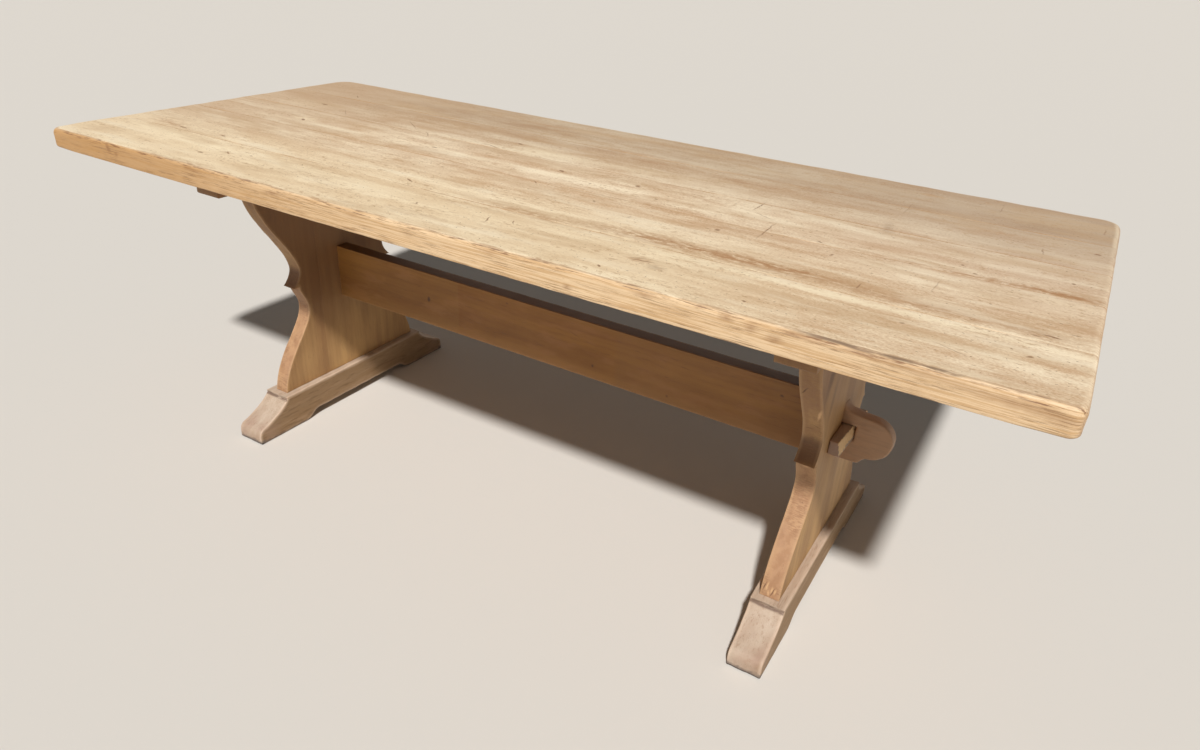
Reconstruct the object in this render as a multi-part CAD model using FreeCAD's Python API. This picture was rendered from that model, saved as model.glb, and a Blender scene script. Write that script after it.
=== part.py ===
import FreeCAD, Part
import math
import os

# Trestle dining table: a five-board top on two trestles. A stretcher runs through both
# uprights on long tenons, and a tapered wedge outside each upright draws the joint tight.
# Millimetres. +X runs along the top, +Y towards the back edge, +Z up from the floor.
# The origin is on the floor under the middle of the top.

# ---- the whole table ----
TABLE_HEIGHT = 750.0
TRESTLE_SPACING = 1356.0        # middle of one upright to middle of the other
UNDERFRAME_SHIFT = 6.0          # the trestles stand this far right of the top's middle

# ---- top ----
TOP_LENGTH = 2124.0
TOP_WIDTH = 894.0
TOP_THICKNESS = 44.0
FRONT_CORNER_RADIUS = 16.0      # corners seen from above
BACK_CORNER_RADIUS = 36.0
TOP_UPPER_ARRIS = 9.0           # worn rounding of the upper edge
TOP_LOWER_ARRIS = 4.0
BOARD_SHARES = (175.0, 196.0, 158.0, 172.0, 193.0)      # board widths, front to back
BOARD_NAMES = ("front", "front_inner", "middle", "back_inner", "back")

# ---- dowels in the glued edge joints ----
TOP_DOWEL_RADIUS = 6.0
TOP_DOWEL_LENGTH = 70.0
TOP_DOWELS_PER_JOINT = 7
TOP_DOWEL_END_MARGIN = 155.0    # from the end of the top to the first dowel
UPRIGHT_DOWEL_RADIUS = 5.0
UPRIGHT_DOWEL_LENGTH = 56.0
UPRIGHT_DOWEL_MARGIN = 42.0     # from the ends of the joint to the outer dowels
UPRIGHT_DOWEL_PITCH = 88.0
DOWEL_FIT = 0.1                 # radial room in a dowel hole
DOWEL_END_ROOM = 1.5            # glue room past each end of a dowel

# ---- head rail, under the top ----
RAIL_LENGTH = 698.0
RAIL_WIDTH = 68.0
RAIL_DEPTH = 62.0
RAIL_END_CHAMFER = 3.0

# ---- upright: three boards, shaped on the outer edges ----
UPRIGHT_THICKNESS = 40.0
CENTRE_BOARD_WIDTH = 170.0
HEAD_HALF_WIDTH = 256.0         # under the head rail
NECK_HALF_WIDTH = 145.0         # above the tooth
TOOTH_HALF_WIDTH = 169.0
TOOTH_STEP = 17.0               # flat underside of the tooth
WAIST_HALF_WIDTH = 130.0        # below the tooth
BASE_HALF_WIDTH = 234.0         # on the foot
TOOTH_HEIGHT = 366.0            # of the tooth's underside, from the floor
NECK_RISE = 49.0                # from the tooth's underside to the neck
WAIST_DROP = 66.0               # from the tooth's underside to the waist

# ---- stub tenons at both ends of every upright board ----
STUB_THICKNESS = 16.0
STUB_WIDTH = 84.0
STUB_LENGTH = 42.0
STUB_INSET = 22.0               # from the joint line to an outer board's stub
JOINT_FIT = 0.3                 # room round every tenon in its mortise
MORTISE_END_ROOM = 2.0          # glue room at the bottom of a blind mortise

# ---- foot ----
FOOT_LENGTH = 692.0
FOOT_WIDTH = 78.0
FOOT_HEIGHT = 96.0
FOOT_PAD_LENGTH = 141.0         # ground contact at each end
FOOT_RELIEF = 21.0              # height of the hollow between the pads
RELIEF_SWEEP = 52.0             # length of the curve from pad to hollow
FOOT_SHELF = 17.0               # flat left in front of the upright
FOOT_QUIRK = 6.0                # small square step at the end of the flat
TOE_HEIGHT = 42.0
TOE_ROUND = 20.0
TOE_CHAMFER = 3.0
PLANED_TOE = 10.0               # taken off the inner side of the right foot at its front toe

# ---- stretcher ----
STRETCHER_TOP = 440.0           # from the floor
STRETCHER_DEPTH = 138.0
STRETCHER_THICKNESS = 38.0
UPPER_SHOULDER = 12.0
LOWER_SHOULDER = 5.0
TENON_THICKNESS = 28.0
NOSE_LENGTH = 103.0             # past the outer face of the upright
NOSE_RADIUS = 44.0
LOWER_LIP = 42.0                # straight part under the tenon, outside the upright
LIP_SWEEP = 17.0                # hollow between that part and the round nose

# ---- wedge ----
WEDGE_HEIGHT = 30.0
WEDGE_THIN_END = 23.0
WEDGE_TAPER = 1.0 / 20.0
WEDGE_FRONT_REACH = 90.0        # thin end, in front of the stretcher's middle plane
WEDGE_BACK_REACH = 68.0         # thick end, behind it
WEDGE_CHAMFER = 2.0
WEDGE_FIT = 0.3                 # room above, below and at both sides
WEDGE_RISE = 3.5                # above the middle of the tenon
SLOT_RELIEF = 4.0               # the slot starts this far inside the upright's face

# ---- coach screws that hold the top down ----
SCREW_RADIUS = 4.0
SCREW_BITE = 28.0               # length in the top
SCREW_TIP = 6.0
SCREW_HEAD_FLATS = 13.0
SCREW_HEAD_HEIGHT = 5.5
WASHER_RADIUS = 10.0
WASHER_THICKNESS = 1.6
COUNTERBORE_RADIUS = 12.0
COUNTERBORE_DEPTH = 22.0
SCREW_HOLE_ROOM = 0.5           # radial room in the rail
PILOT_ROOM = 0.1                # radial room in the top
SLOT_TRAVEL = 8.0               # back screws sit in slots, so that the top can move
SCREW_END_MARGINS = (22.0, 58.0)    # from the rail's end

# ---- levels and places that follow ----
TOP_UNDERSIDE = TABLE_HEIGHT - TOP_THICKNESS
RAIL_UNDERSIDE = TOP_UNDERSIDE - RAIL_DEPTH
UPRIGHT_X = TRESTLE_SPACING / 2
OUTER_FACE_X = UPRIGHT_X + UPRIGHT_THICKNESS / 2
INNER_FACE_X = UPRIGHT_X - UPRIGHT_THICKNESS / 2
JOINT_Y = CENTRE_BOARD_WIDTH / 2
STRETCHER_BOTTOM = STRETCHER_TOP - STRETCHER_DEPTH
TENON_TOP = STRETCHER_TOP - UPPER_SHOULDER
TENON_BOTTOM = STRETCHER_BOTTOM + LOWER_SHOULDER
TENON_MIDDLE = (TENON_TOP + TENON_BOTTOM) / 2
WEDGE_BOTTOM = TENON_MIDDLE + WEDGE_RISE - WEDGE_HEIGHT / 2
WEDGE_TOP = WEDGE_BOTTOM + WEDGE_HEIGHT
SIDES = (("left", -1), ("right", 1))


def vector(x, y, z):
    return FreeCAD.Vector(x, y, z)


def block(x0, x1, y0, y1, z0, z1):
    """A box between two corners."""
    return Part.makeBox(x1 - x0, y1 - y0, z1 - z0, vector(x0, y0, z0))


def rod(x, y, z, radius, length, direction):
    """A round bar that starts at a point and runs along a direction."""
    return Part.makeCylinder(radius, length, vector(x, y, z), direction)


def outline(place, start, steps):
    """A closed face. A step is a point, or two handles and a point for a curve."""
    edges = []
    here = start
    for step in steps:
        if len(step) == 2:
            edges.append(Part.makeLine(place(*here), place(*step)))
            here = step
        else:
            curve = Part.BezierCurve()
            curve.setPoles([place(*here)] + [place(*pole) for pole in step])
            edges.append(curve.toShape())
            here = step[-1]
    if here != start:
        edges.append(Part.makeLine(place(*here), place(*start)))
    return Part.Face(Part.Wire(edges))


def mirrored(shape, normal):
    """The shape's mirror image in a plane through the origin."""
    return shape.mirror(vector(0, 0, 0), normal)


def shifted(shape):
    """From the underframe's own middle to its place under the top."""
    return shape.translated(vector(UNDERFRAME_SHIFT, 0, 0))


def on_side(shape, side):
    """Shapes are drawn for the right-hand trestle; the left one is its mirror image."""
    return shifted(mirrored(shape, vector(1, 0, 0)) if side < 0 else shape)


def board_edges():
    """Y of both outer edges of the top and of the joints between its boards."""
    edges = [-TOP_WIDTH / 2]
    for share in BOARD_SHARES:
        edges.append(edges[-1] + TOP_WIDTH * share / sum(BOARD_SHARES))
    return edges


def top_dowel_places():
    """X, Y of each dowel in the top's joints."""
    first = -TOP_LENGTH / 2 + TOP_DOWEL_END_MARGIN
    pitch = -2 * first / (TOP_DOWELS_PER_JOINT - 1)
    return [(first + pitch * i, y) for y in board_edges()[1:-1] for i in range(TOP_DOWELS_PER_JOINT)]


def dowel_along_y(x, y, z, radius, length):
    return rod(x, y - length / 2, z, radius, length, vector(0, 1, 0))


def top_dowels(room=0.0, end_room=0.0):
    middle = TABLE_HEIGHT - TOP_THICKNESS / 2
    radius = TOP_DOWEL_RADIUS + room
    length = TOP_DOWEL_LENGTH + 2 * end_room
    return [dowel_along_y(x, y, middle, radius, length) for x, y in top_dowel_places()]


def upright_dowel_heights():
    """Heights of the dowels in an upright's joints, clear of the narrow neck and waist."""
    low = FOOT_HEIGHT + UPRIGHT_DOWEL_MARGIN
    high = RAIL_UNDERSIDE - UPRIGHT_DOWEL_MARGIN
    return (low, low + UPRIGHT_DOWEL_PITCH, high - UPRIGHT_DOWEL_PITCH, high)


def upright_dowels(room=0.0, end_room=0.0):
    """Dowels of the right-hand upright."""
    radius = UPRIGHT_DOWEL_RADIUS + room
    length = UPRIGHT_DOWEL_LENGTH + 2 * end_room
    places = [(y, z) for y in (-JOINT_Y, JOINT_Y) for z in upright_dowel_heights()]
    return [dowel_along_y(UPRIGHT_X, y, z, radius, length) for y, z in places]


def screw_places():
    """Y of each screw in a rail, and the length of the slot it stands in."""
    ends = [RAIL_LENGTH / 2 - margin for margin in SCREW_END_MARGINS]
    return [(-y, 0.0) for y in ends] + [(y, SLOT_TRAVEL) for y in ends]


def slotted_hole(y, travel, radius, z0, z1):
    """A hole drawn out along Y, or a round one if it has no travel."""
    up = vector(0, 0, 1)
    if travel == 0:
        return rod(UPRIGHT_X, y, z0, radius, z1 - z0, up)
    ends = [rod(UPRIGHT_X, y + s * travel / 2, z0, radius, z1 - z0, up) for s in (-1, 1)]
    middle = block(UPRIGHT_X - radius, UPRIGHT_X + radius, y - travel / 2, y + travel / 2, z0, z1)
    return middle.fuse(ends).removeSplitter()


def coach_screw(y):
    """Hexagon head, plain shank and pointed tip, of the right-hand rail."""
    head_top = RAIL_UNDERSIDE + COUNTERBORE_DEPTH - WASHER_THICKNESS
    shank_top = TOP_UNDERSIDE + SCREW_BITE - SCREW_TIP
    corner = SCREW_HEAD_FLATS / math.sqrt(3)
    angles = [math.radians(60 * i) for i in range(7)]
    ring = [vector(UPRIGHT_X + corner * math.cos(a), y + corner * math.sin(a),
                   head_top - SCREW_HEAD_HEIGHT) for a in angles]
    head = Part.Face(Part.makePolygon(ring)).extrude(vector(0, 0, SCREW_HEAD_HEIGHT))
    up = vector(0, 0, 1)
    shank = rod(UPRIGHT_X, y, head_top, SCREW_RADIUS, shank_top - head_top, up)
    tip = Part.makeCone(SCREW_RADIUS, SCREW_RADIUS / 8, SCREW_TIP, vector(UPRIGHT_X, y, shank_top), up)
    return head.fuse([shank, tip]).removeSplitter()


def washer(y):
    top = RAIL_UNDERSIDE + COUNTERBORE_DEPTH
    up = vector(0, 0, 1)
    disc = rod(UPRIGHT_X, y, top - WASHER_THICKNESS, WASHER_RADIUS, WASHER_THICKNESS, up)
    hole = rod(UPRIGHT_X, y, top - WASHER_THICKNESS, SCREW_RADIUS + PILOT_ROOM, WASHER_THICKNESS, up)
    return disc.cut(hole)


def top_boards():
    """The whole top is shaped first and then divided at its joints."""
    half_length = TOP_LENGTH / 2
    half_width = TOP_WIDTH / 2
    slab = block(-half_length, half_length, -half_width, half_width, TOP_UNDERSIDE, TABLE_HEIGHT)
    for radius, is_front in ((FRONT_CORNER_RADIUS, True), (BACK_CORNER_RADIUS, False)):
        corners = [e for e in slab.Edges if abs(e.BoundBox.ZLength - TOP_THICKNESS) < 0.01
                   and abs(abs(e.BoundBox.YMin) - half_width) < 0.01 and (e.BoundBox.YMin < 0) == is_front]
        slab = slab.makeFillet(radius, corners)
    for level, radius in ((TABLE_HEIGHT, TOP_UPPER_ARRIS), (TOP_UNDERSIDE, TOP_LOWER_ARRIS)):
        rim = [e for e in slab.Edges if e.BoundBox.ZLength < 0.01 and abs(e.BoundBox.ZMin - level) < 0.01]
        slab = slab.makeFillet(radius, rim)
    dowel_holes = top_dowels(DOWEL_FIT, DOWEL_END_ROOM)
    pilot_depth = SCREW_BITE + DOWEL_END_ROOM
    pilots = []
    for _, side in SIDES:
        for y, _travel in screw_places():
            hole = rod(UPRIGHT_X, y, TOP_UNDERSIDE, SCREW_RADIUS + PILOT_ROOM, pilot_depth, vector(0, 0, 1))
            pilots.append(on_side(hole, side))
    slab = slab.cut(dowel_holes + pilots)
    edges = board_edges()
    boards = {}
    for name, y0, y1 in zip(BOARD_NAMES, edges[:-1], edges[1:]):
        strip = block(-half_length, half_length, y0, y1, TOP_UNDERSIDE, TABLE_HEIGHT)
        boards["top_board_" + name] = slab.common(strip)
    return boards


def stub_places():
    """Middle Y of the stub tenons: one on the centre board and one on each outer board."""
    outer = JOINT_Y + STUB_INSET + STUB_WIDTH / 2
    return (-outer, 0.0, outer)


def stub(y, base, length, room=0.0):
    """A stub tenon, or with room its mortise. A negative length points down."""
    half = STUB_THICKNESS / 2 + room
    wide = STUB_WIDTH / 2 + room
    low, high = sorted((base, base + length))
    return block(UPRIGHT_X - half, UPRIGHT_X + half, y - wide, y + wide, low, high)


def stubs_of(y):
    return [stub(y, RAIL_UNDERSIDE, STUB_LENGTH), stub(y, FOOT_HEIGHT, -STUB_LENGTH)]


def outer_upright_board():
    """Back board of the right-hand upright: sweeps in to a neck, out to a tooth, steps back
    under it, draws in to a waist and sweeps out again to the foot."""
    neck = TOOTH_HEIGHT + NECK_RISE
    waist = TOOTH_HEIGHT - WAIST_DROP
    head_span = RAIL_UNDERSIDE - neck
    base_span = waist - FOOT_HEIGHT
    head_swell = 0.05 * (HEAD_HALF_WIDTH - NECK_HALF_WIDTH)
    neck_lead = 0.15 * (HEAD_HALF_WIDTH - NECK_HALF_WIDTH)
    tooth_reach = TOOTH_HALF_WIDTH - NECK_HALF_WIDTH
    under_tooth = TOOTH_HALF_WIDTH - TOOTH_STEP
    base_flare = BASE_HALF_WIDTH - WAIST_HALF_WIDTH
    steps = [
        (HEAD_HALF_WIDTH, RAIL_UNDERSIDE),
        ((HEAD_HALF_WIDTH + head_swell, RAIL_UNDERSIDE - 0.35 * head_span),
         (NECK_HALF_WIDTH + neck_lead, neck + 0.29 * head_span),
         (NECK_HALF_WIDTH, neck)),
        ((NECK_HALF_WIDTH - 0.15 * tooth_reach, neck - 0.30 * NECK_RISE),
         (NECK_HALF_WIDTH + 0.27 * tooth_reach, TOOTH_HEIGHT + 0.29 * NECK_RISE),
         (TOOTH_HALF_WIDTH, TOOTH_HEIGHT)),
        (under_tooth, TOOTH_HEIGHT),
        ((under_tooth, TOOTH_HEIGHT - 0.32 * WAIST_DROP),
         (WAIST_HALF_WIDTH, waist + 0.45 * WAIST_DROP),
         (WAIST_HALF_WIDTH, waist)),
        ((WAIST_HALF_WIDTH, waist - 0.25 * base_span),
         (BASE_HALF_WIDTH - 0.11 * base_flare, FOOT_HEIGHT + 0.46 * base_span),
         (BASE_HALF_WIDTH, FOOT_HEIGHT)),
        (JOINT_Y, FOOT_HEIGHT),
    ]
    face = outline(lambda y, z: vector(INNER_FACE_X, y, z), (JOINT_Y, RAIL_UNDERSIDE), steps)
    board = face.extrude(vector(UPRIGHT_THICKNESS, 0, 0))
    return board.fuse(stubs_of(stub_places()[2])).removeSplitter()


def centre_upright_board():
    """Middle board of the right-hand upright, with the mortise for the stretcher."""
    board = block(INNER_FACE_X, OUTER_FACE_X, -JOINT_Y, JOINT_Y, FOOT_HEIGHT, RAIL_UNDERSIDE)
    board = board.fuse(stubs_of(0.0)).removeSplitter()
    half = TENON_THICKNESS / 2 + JOINT_FIT
    return board.cut(block(INNER_FACE_X, OUTER_FACE_X, -half, half,
                           TENON_BOTTOM - JOINT_FIT, TENON_TOP + JOINT_FIT))


def upright_boards():
    holes = upright_dowels(DOWEL_FIT, DOWEL_END_ROOM)
    back = outer_upright_board()
    return {
        "front": mirrored(back, vector(0, 1, 0)).cut(holes),
        "centre": centre_upright_board().cut(holes),
        "back": back.cut(holes),
    }


def head_rail():
    """Right-hand rail between the upright and the top."""
    half_width = RAIL_WIDTH / 2
    half_length = RAIL_LENGTH / 2
    steps = [
        (half_length, TOP_UNDERSIDE),
        (half_length, RAIL_UNDERSIDE + RAIL_END_CHAMFER),
        (half_length - RAIL_END_CHAMFER, RAIL_UNDERSIDE),
        (RAIL_END_CHAMFER - half_length, RAIL_UNDERSIDE),
        (-half_length, RAIL_UNDERSIDE + RAIL_END_CHAMFER),
    ]
    face = outline(lambda y, z: vector(UPRIGHT_X - half_width, y, z), (-half_length, TOP_UNDERSIDE), steps)
    rail = face.extrude(vector(RAIL_WIDTH, 0, 0))
    mortises = [stub(y, RAIL_UNDERSIDE, STUB_LENGTH + MORTISE_END_ROOM, JOINT_FIT) for y in stub_places()]
    seat = RAIL_UNDERSIDE + COUNTERBORE_DEPTH
    holes = []
    for y, travel in screw_places():
        holes.append(slotted_hole(y, travel, COUNTERBORE_RADIUS, RAIL_UNDERSIDE, seat))
        holes.append(slotted_hole(y, travel, SCREW_RADIUS + SCREW_HOLE_ROOM, seat, TOP_UNDERSIDE))
    return rail.cut(mortises + holes)


def foot():
    """Right-hand foot: two pads with a shallow hollow between, and low swept toes."""
    toe_end = FOOT_LENGTH / 2
    pad_inner = toe_end - TOE_CHAMFER - FOOT_PAD_LENGTH
    shelf_end = BASE_HALF_WIDTH + FOOT_SHELF
    quirk_level = FOOT_HEIGHT - FOOT_QUIRK
    toe_start = toe_end - TOE_ROUND
    slope = toe_start - shelf_end
    rise = quirk_level - TOE_HEIGHT
    hollow_end = pad_inner - RELIEF_SWEEP
    steps = [
        (hollow_end, FOOT_RELIEF),
        ((pad_inner - RELIEF_SWEEP / 2, FOOT_RELIEF), (pad_inner - RELIEF_SWEEP / 2, 0.0), (pad_inner, 0.0)),
        (toe_end - TOE_CHAMFER, 0.0),
        (toe_end, TOE_CHAMFER),
        (toe_end, TOE_HEIGHT - TOE_ROUND),
        ((toe_end, TOE_HEIGHT - 0.4 * TOE_ROUND), (toe_end - 0.4 * TOE_ROUND, TOE_HEIGHT - 1.0),
         (toe_start, TOE_HEIGHT)),
        ((toe_start - 0.33 * slope, TOE_HEIGHT + 0.23 * rise), (shelf_end + 0.2 * slope, TOE_HEIGHT + 0.54 * rise),
         (shelf_end, quirk_level)),
        (shelf_end, FOOT_HEIGHT),
        (0.0, FOOT_HEIGHT),
    ]
    inner_side = UPRIGHT_X - FOOT_WIDTH / 2
    face = outline(lambda y, z: vector(inner_side, y, z), (0.0, FOOT_RELIEF), steps)
    back_half = face.extrude(vector(FOOT_WIDTH, 0, 0))
    whole = back_half.fuse(mirrored(back_half, vector(0, 1, 0))).removeSplitter()
    depth = STUB_LENGTH + MORTISE_END_ROOM
    return whole.cut([stub(y, FOOT_HEIGHT, -depth, JOINT_FIT) for y in stub_places()])


def right_foot():
    """The right foot is planed to a slight taper along the inner side of its front half."""
    inner_side = UPRIGHT_X - FOOT_WIDTH / 2
    toe = -FOOT_LENGTH / 2
    shaving = outline(lambda x, y: vector(x, y, 0.0), (inner_side, 0.0),
                      [(inner_side + PLANED_TOE, toe), (inner_side, toe)])
    return foot().cut(shaving.extrude(vector(0, 0, FOOT_HEIGHT)))


def wedge_reach(y):
    """X of the wedge's sloping outer face at a given Y."""
    thickness = WEDGE_THIN_END + WEDGE_TAPER * (y + WEDGE_FRONT_REACH)
    return OUTER_FACE_X + WEDGE_FIT + thickness


def wedge():
    """Right-hand wedge: its inner face is parallel to the upright, its outer face slopes."""
    front = -WEDGE_FRONT_REACH
    inner = OUTER_FACE_X + WEDGE_FIT
    face = outline(lambda x, y: vector(x, y, WEDGE_BOTTOM), (inner, front),
                   [(wedge_reach(front), front), (wedge_reach(WEDGE_BACK_REACH), WEDGE_BACK_REACH),
                    (inner, WEDGE_BACK_REACH)])
    bar = face.extrude(vector(0, 0, WEDGE_HEIGHT))
    end_edges = [e for e in bar.Edges if e.BoundBox.YLength < 0.01]
    return bar.makeChamfer(WEDGE_CHAMFER, end_edges)


def wedge_slot():
    """Slot through the right-hand tenon. It starts inside the upright, so that the wedge
    bears on the upright and not on the bottom of the slot."""
    half = TENON_THICKNESS / 2
    inner = OUTER_FACE_X - SLOT_RELIEF
    face = outline(lambda x, y: vector(x, y, WEDGE_BOTTOM - WEDGE_FIT), (inner, -half),
                   [(wedge_reach(-half) + WEDGE_FIT, -half), (wedge_reach(half) + WEDGE_FIT, half),
                    (inner, half)])
    return face.extrude(vector(0, 0, WEDGE_HEIGHT + 2 * WEDGE_FIT))


def tenon():
    """Right-hand through tenon with its round nose."""
    half = TENON_THICKNESS / 2
    nose_x = OUTER_FACE_X + NOSE_LENGTH - NOSE_RADIUS
    nose_top = TENON_MIDDLE + NOSE_RADIUS
    nose_bottom = TENON_MIDDLE - NOSE_RADIUS
    root = nose_x - OUTER_FACE_X
    lip_end = OUTER_FACE_X + LOWER_LIP

    def place(x, z):
        return vector(x, -half, z)

    top_curve = Part.BezierCurve()
    top_curve.setPoles([place(OUTER_FACE_X, TENON_TOP), place(OUTER_FACE_X + 0.14 * root, nose_top + 2.5),
                        place(OUTER_FACE_X + 0.45 * root, nose_top + 0.5), place(nose_x, nose_top)])
    nose = Part.Arc(place(nose_x, nose_top), place(nose_x + NOSE_RADIUS, TENON_MIDDLE),
                    place(nose_x, nose_bottom))
    lip_curve = Part.BezierCurve()
    lip_curve.setPoles([place(nose_x, nose_bottom), place(nose_x - LIP_SWEEP / 2, nose_bottom),
                        place(lip_end + LIP_SWEEP / 2, TENON_BOTTOM), place(lip_end, TENON_BOTTOM)])
    edges = [
        Part.makeLine(place(INNER_FACE_X, TENON_BOTTOM), place(INNER_FACE_X, TENON_TOP)),
        Part.makeLine(place(INNER_FACE_X, TENON_TOP), place(OUTER_FACE_X, TENON_TOP)),
        top_curve.toShape(),
        nose.toShape(),
        lip_curve.toShape(),
        Part.makeLine(place(lip_end, TENON_BOTTOM), place(INNER_FACE_X, TENON_BOTTOM)),
    ]
    solid = Part.Face(Part.Wire(edges)).extrude(vector(0, TENON_THICKNESS, 0))
    return solid.cut(wedge_slot())


def stretcher():
    half = STRETCHER_THICKNESS / 2
    rail = block(-INNER_FACE_X, INNER_FACE_X, -half, half, STRETCHER_BOTTOM, STRETCHER_TOP)
    right = tenon()
    return shifted(rail.fuse([right, mirrored(right, vector(1, 0, 0))]).removeSplitter())


def both_sides(shapes):
    """The right-hand shapes and their mirror images, as one group of solids."""
    return [on_side(shape, side) for _, side in SIDES for shape in shapes]


def nodes():
    parts = top_boards()
    parts["top_dowels"] = Part.makeCompound(top_dowels())
    parts["stretcher"] = stretcher()
    boards = upright_boards()
    for side_name, side in SIDES:
        parts["head_rail_" + side_name] = on_side(head_rail(), side)
        parts["foot_" + side_name] = on_side(foot() if side < 0 else right_foot(), side)
        parts["wedge_" + side_name] = on_side(wedge(), side)
        for board_name, board in boards.items():
            parts["upright_%s_%s" % (side_name, board_name)] = on_side(board, side)
    parts["upright_dowels"] = Part.makeCompound(both_sides(upright_dowels()))
    places = [y for y, _travel in screw_places()]
    parts["top_screws"] = Part.makeCompound(both_sides([coach_screw(y) for y in places]))
    parts["top_screw_washers"] = Part.makeCompound(both_sides([washer(y) for y in places]))
    return parts


def main():
    os.makedirs("parts", exist_ok=True)
    for name, shape in nodes().items():
        if not shape.isValid():
            raise RuntimeError("invalid shape: " + name)
        shape.exportStep("parts/%s.step" % name)
        print(name, len(shape.Solids), round(shape.Volume))


main()
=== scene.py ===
"""A trestle dining table in old stripped oak, built in Blender around its fixed frame.

Sizes in the mesh code and in the wood's figure are in millimetres. The top, the uprights, the feet,
the stretcher and the wedges are made again with worn arrises, and the head rails are the frame's own
with their edges broken. Dowels, coach screws and washers come from Geometry Nodes.
"""

import math
from functools import partial

import bmesh
import bpy
import numpy as np
from bpy.props import FloatProperty, FloatVectorProperty, PointerProperty
from mathutils import Matrix, Vector
from mathutils.geometry import delaunay_2d_cdt


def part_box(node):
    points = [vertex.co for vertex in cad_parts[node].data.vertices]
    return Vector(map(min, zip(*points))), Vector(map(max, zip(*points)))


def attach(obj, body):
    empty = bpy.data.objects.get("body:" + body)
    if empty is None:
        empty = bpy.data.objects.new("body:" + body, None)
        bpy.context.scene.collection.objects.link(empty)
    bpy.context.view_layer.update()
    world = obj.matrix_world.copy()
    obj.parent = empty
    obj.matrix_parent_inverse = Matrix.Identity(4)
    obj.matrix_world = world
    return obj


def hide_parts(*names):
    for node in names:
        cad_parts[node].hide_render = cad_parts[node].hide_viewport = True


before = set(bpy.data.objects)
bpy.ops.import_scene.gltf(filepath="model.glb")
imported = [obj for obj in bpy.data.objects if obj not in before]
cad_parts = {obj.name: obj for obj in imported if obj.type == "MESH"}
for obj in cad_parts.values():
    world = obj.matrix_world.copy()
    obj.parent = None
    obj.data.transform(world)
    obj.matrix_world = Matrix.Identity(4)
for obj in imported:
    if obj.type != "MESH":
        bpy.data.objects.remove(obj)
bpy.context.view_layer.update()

bl_info = {
    "name": "Trestle dining table",
    "version": (1, 0, 0),
    "blender": (4, 5, 0),
    "location": "3D View > Sidebar > Table",
    "description": "Finishes the pieces of a trestle dining table around their frame",
    "category": "Object",
}

MM = 0.001
X, Y, Z = 0, 1, 2
LEFT, RIGHT, FRONT, DOWN, UP = (-1, 0, 0), (1, 0, 0), (0, -1, 0), (0, 0, -1), (0, 0, 1)
TABLE = "table"
SIDES = ("left", "right")
TOP_BOARDS = ("front", "front_inner", "middle", "back_inner", "back")
UPRIGHT_BOARDS = ("front", "centre", "back")

WELD = 1e-6               # the frame's loose triangles join within this, in metres
CELL = 8.0                # spacing of mesh points on flat wood
OUTLINE_STEP = 4.0        # spacing of mesh points along an outline
ARRIS_STEPS = 5           # facets of a rounded arris
CORNER_DEGREES = 24       # an outline that turns more than this at a point has a corner there
WEAR_REACH = 9.0          # how far the wear of an arris reaches onto the face
SHARP_ARRIS = 0.25        # radius of an arris that was never worn
DENT_SIZE = 38.0          # length of the dents along a plank's arris
HOLLOW_SIZE = 120.0       # width of the hollows in a plank's faces
HOLLOW_EDGE = 25.0        # a hollow is full this far from the arris
ARRIS_WANDER = 70.0       # length over which an arris's radius changes
SMOOTH_DEGREES = 38       # faces that meet at more than this have a sharp edge between them
MARK_DEPTH = 30.0         # a mark on a face reaches this far through it
STRAY_SIZE = 14.0         # scale of the uneven outline of a mark
RELIEF = 0.35             # height that the wood's bump stands for


# --- Colours and sizes that a user would change ---------------------------------------------------

def linear(code):
    """An sRGB hex colour as linear red, green and blue."""
    channels = [int(code[i:i + 2], 16) / 255 for i in (1, 3, 5)]
    return [c / 12.92 if c <= 0.04045 else ((c + 0.055) / 1.055) ** 2.4 for c in channels]


def colour(name, description, code):
    """A colour property with an sRGB hex default."""
    return FloatVectorProperty(name=name, description=description, default=linear(code),
                               subtype="COLOR", size=3, min=0.0, max=1.0)


def length(name, description, millimetres):
    """A length property, given in millimetres and kept in metres."""
    return FloatProperty(name=name, description=description, default=millimetres * MM,
                         min=0.0, subtype="DISTANCE", unit="LENGTH", precision=5)


class TableColours(bpy.types.PropertyGroup):
    """Colours of the wood, as it looks where it has been stripped and worn."""
    top_light: colour("Top, light", "Pale bleached wood of the top", "#f8e4c3")
    top_dark: colour("Top, dark", "Brown streaks in the top", "#c6a27c")
    top_edge: colour("Top, front edge", "Less bleached wood on the top's long edges", "#e6c59b")
    top_under: colour("Top, underside", "Wood that was never scrubbed", "#a9805a")
    upright_light: colour("Uprights, light", "Pale wood of the uprights", "#c69d67")
    upright_dark: colour("Uprights, dark", "Dark bands of the uprights", "#a27a4f")
    foot_light: colour("Feet, light", "Scuffed wood of the feet", "#c9b7a2")
    foot_dark: colour("Feet, dark", "Dark bands of the feet", "#a58870")
    # The stretcher's colours are darker than its wood alone: partly its own browner oak, partly painted shade
    # for the deep shade it sits in under the top.
    stretcher_light: colour("Stretcher, light", "Pale wood of the stretcher", "#a26f2e")
    stretcher_dark: colour("Stretcher, dark", "Dark bands of the stretcher", "#7b4d19")
    wedge_light: colour("Wedges, light", "Handled wood of the wedges", "#c6b4a4")
    wedge_dark: colour("Wedges, dark", "Dark bands of the wedges", "#a59183")
    beech: colour("Dowels", "Beech of the dowels", "#d8b083")
    zinc: colour("Screws", "Dull zinc plating of the screws", "#a9adb0")


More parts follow.
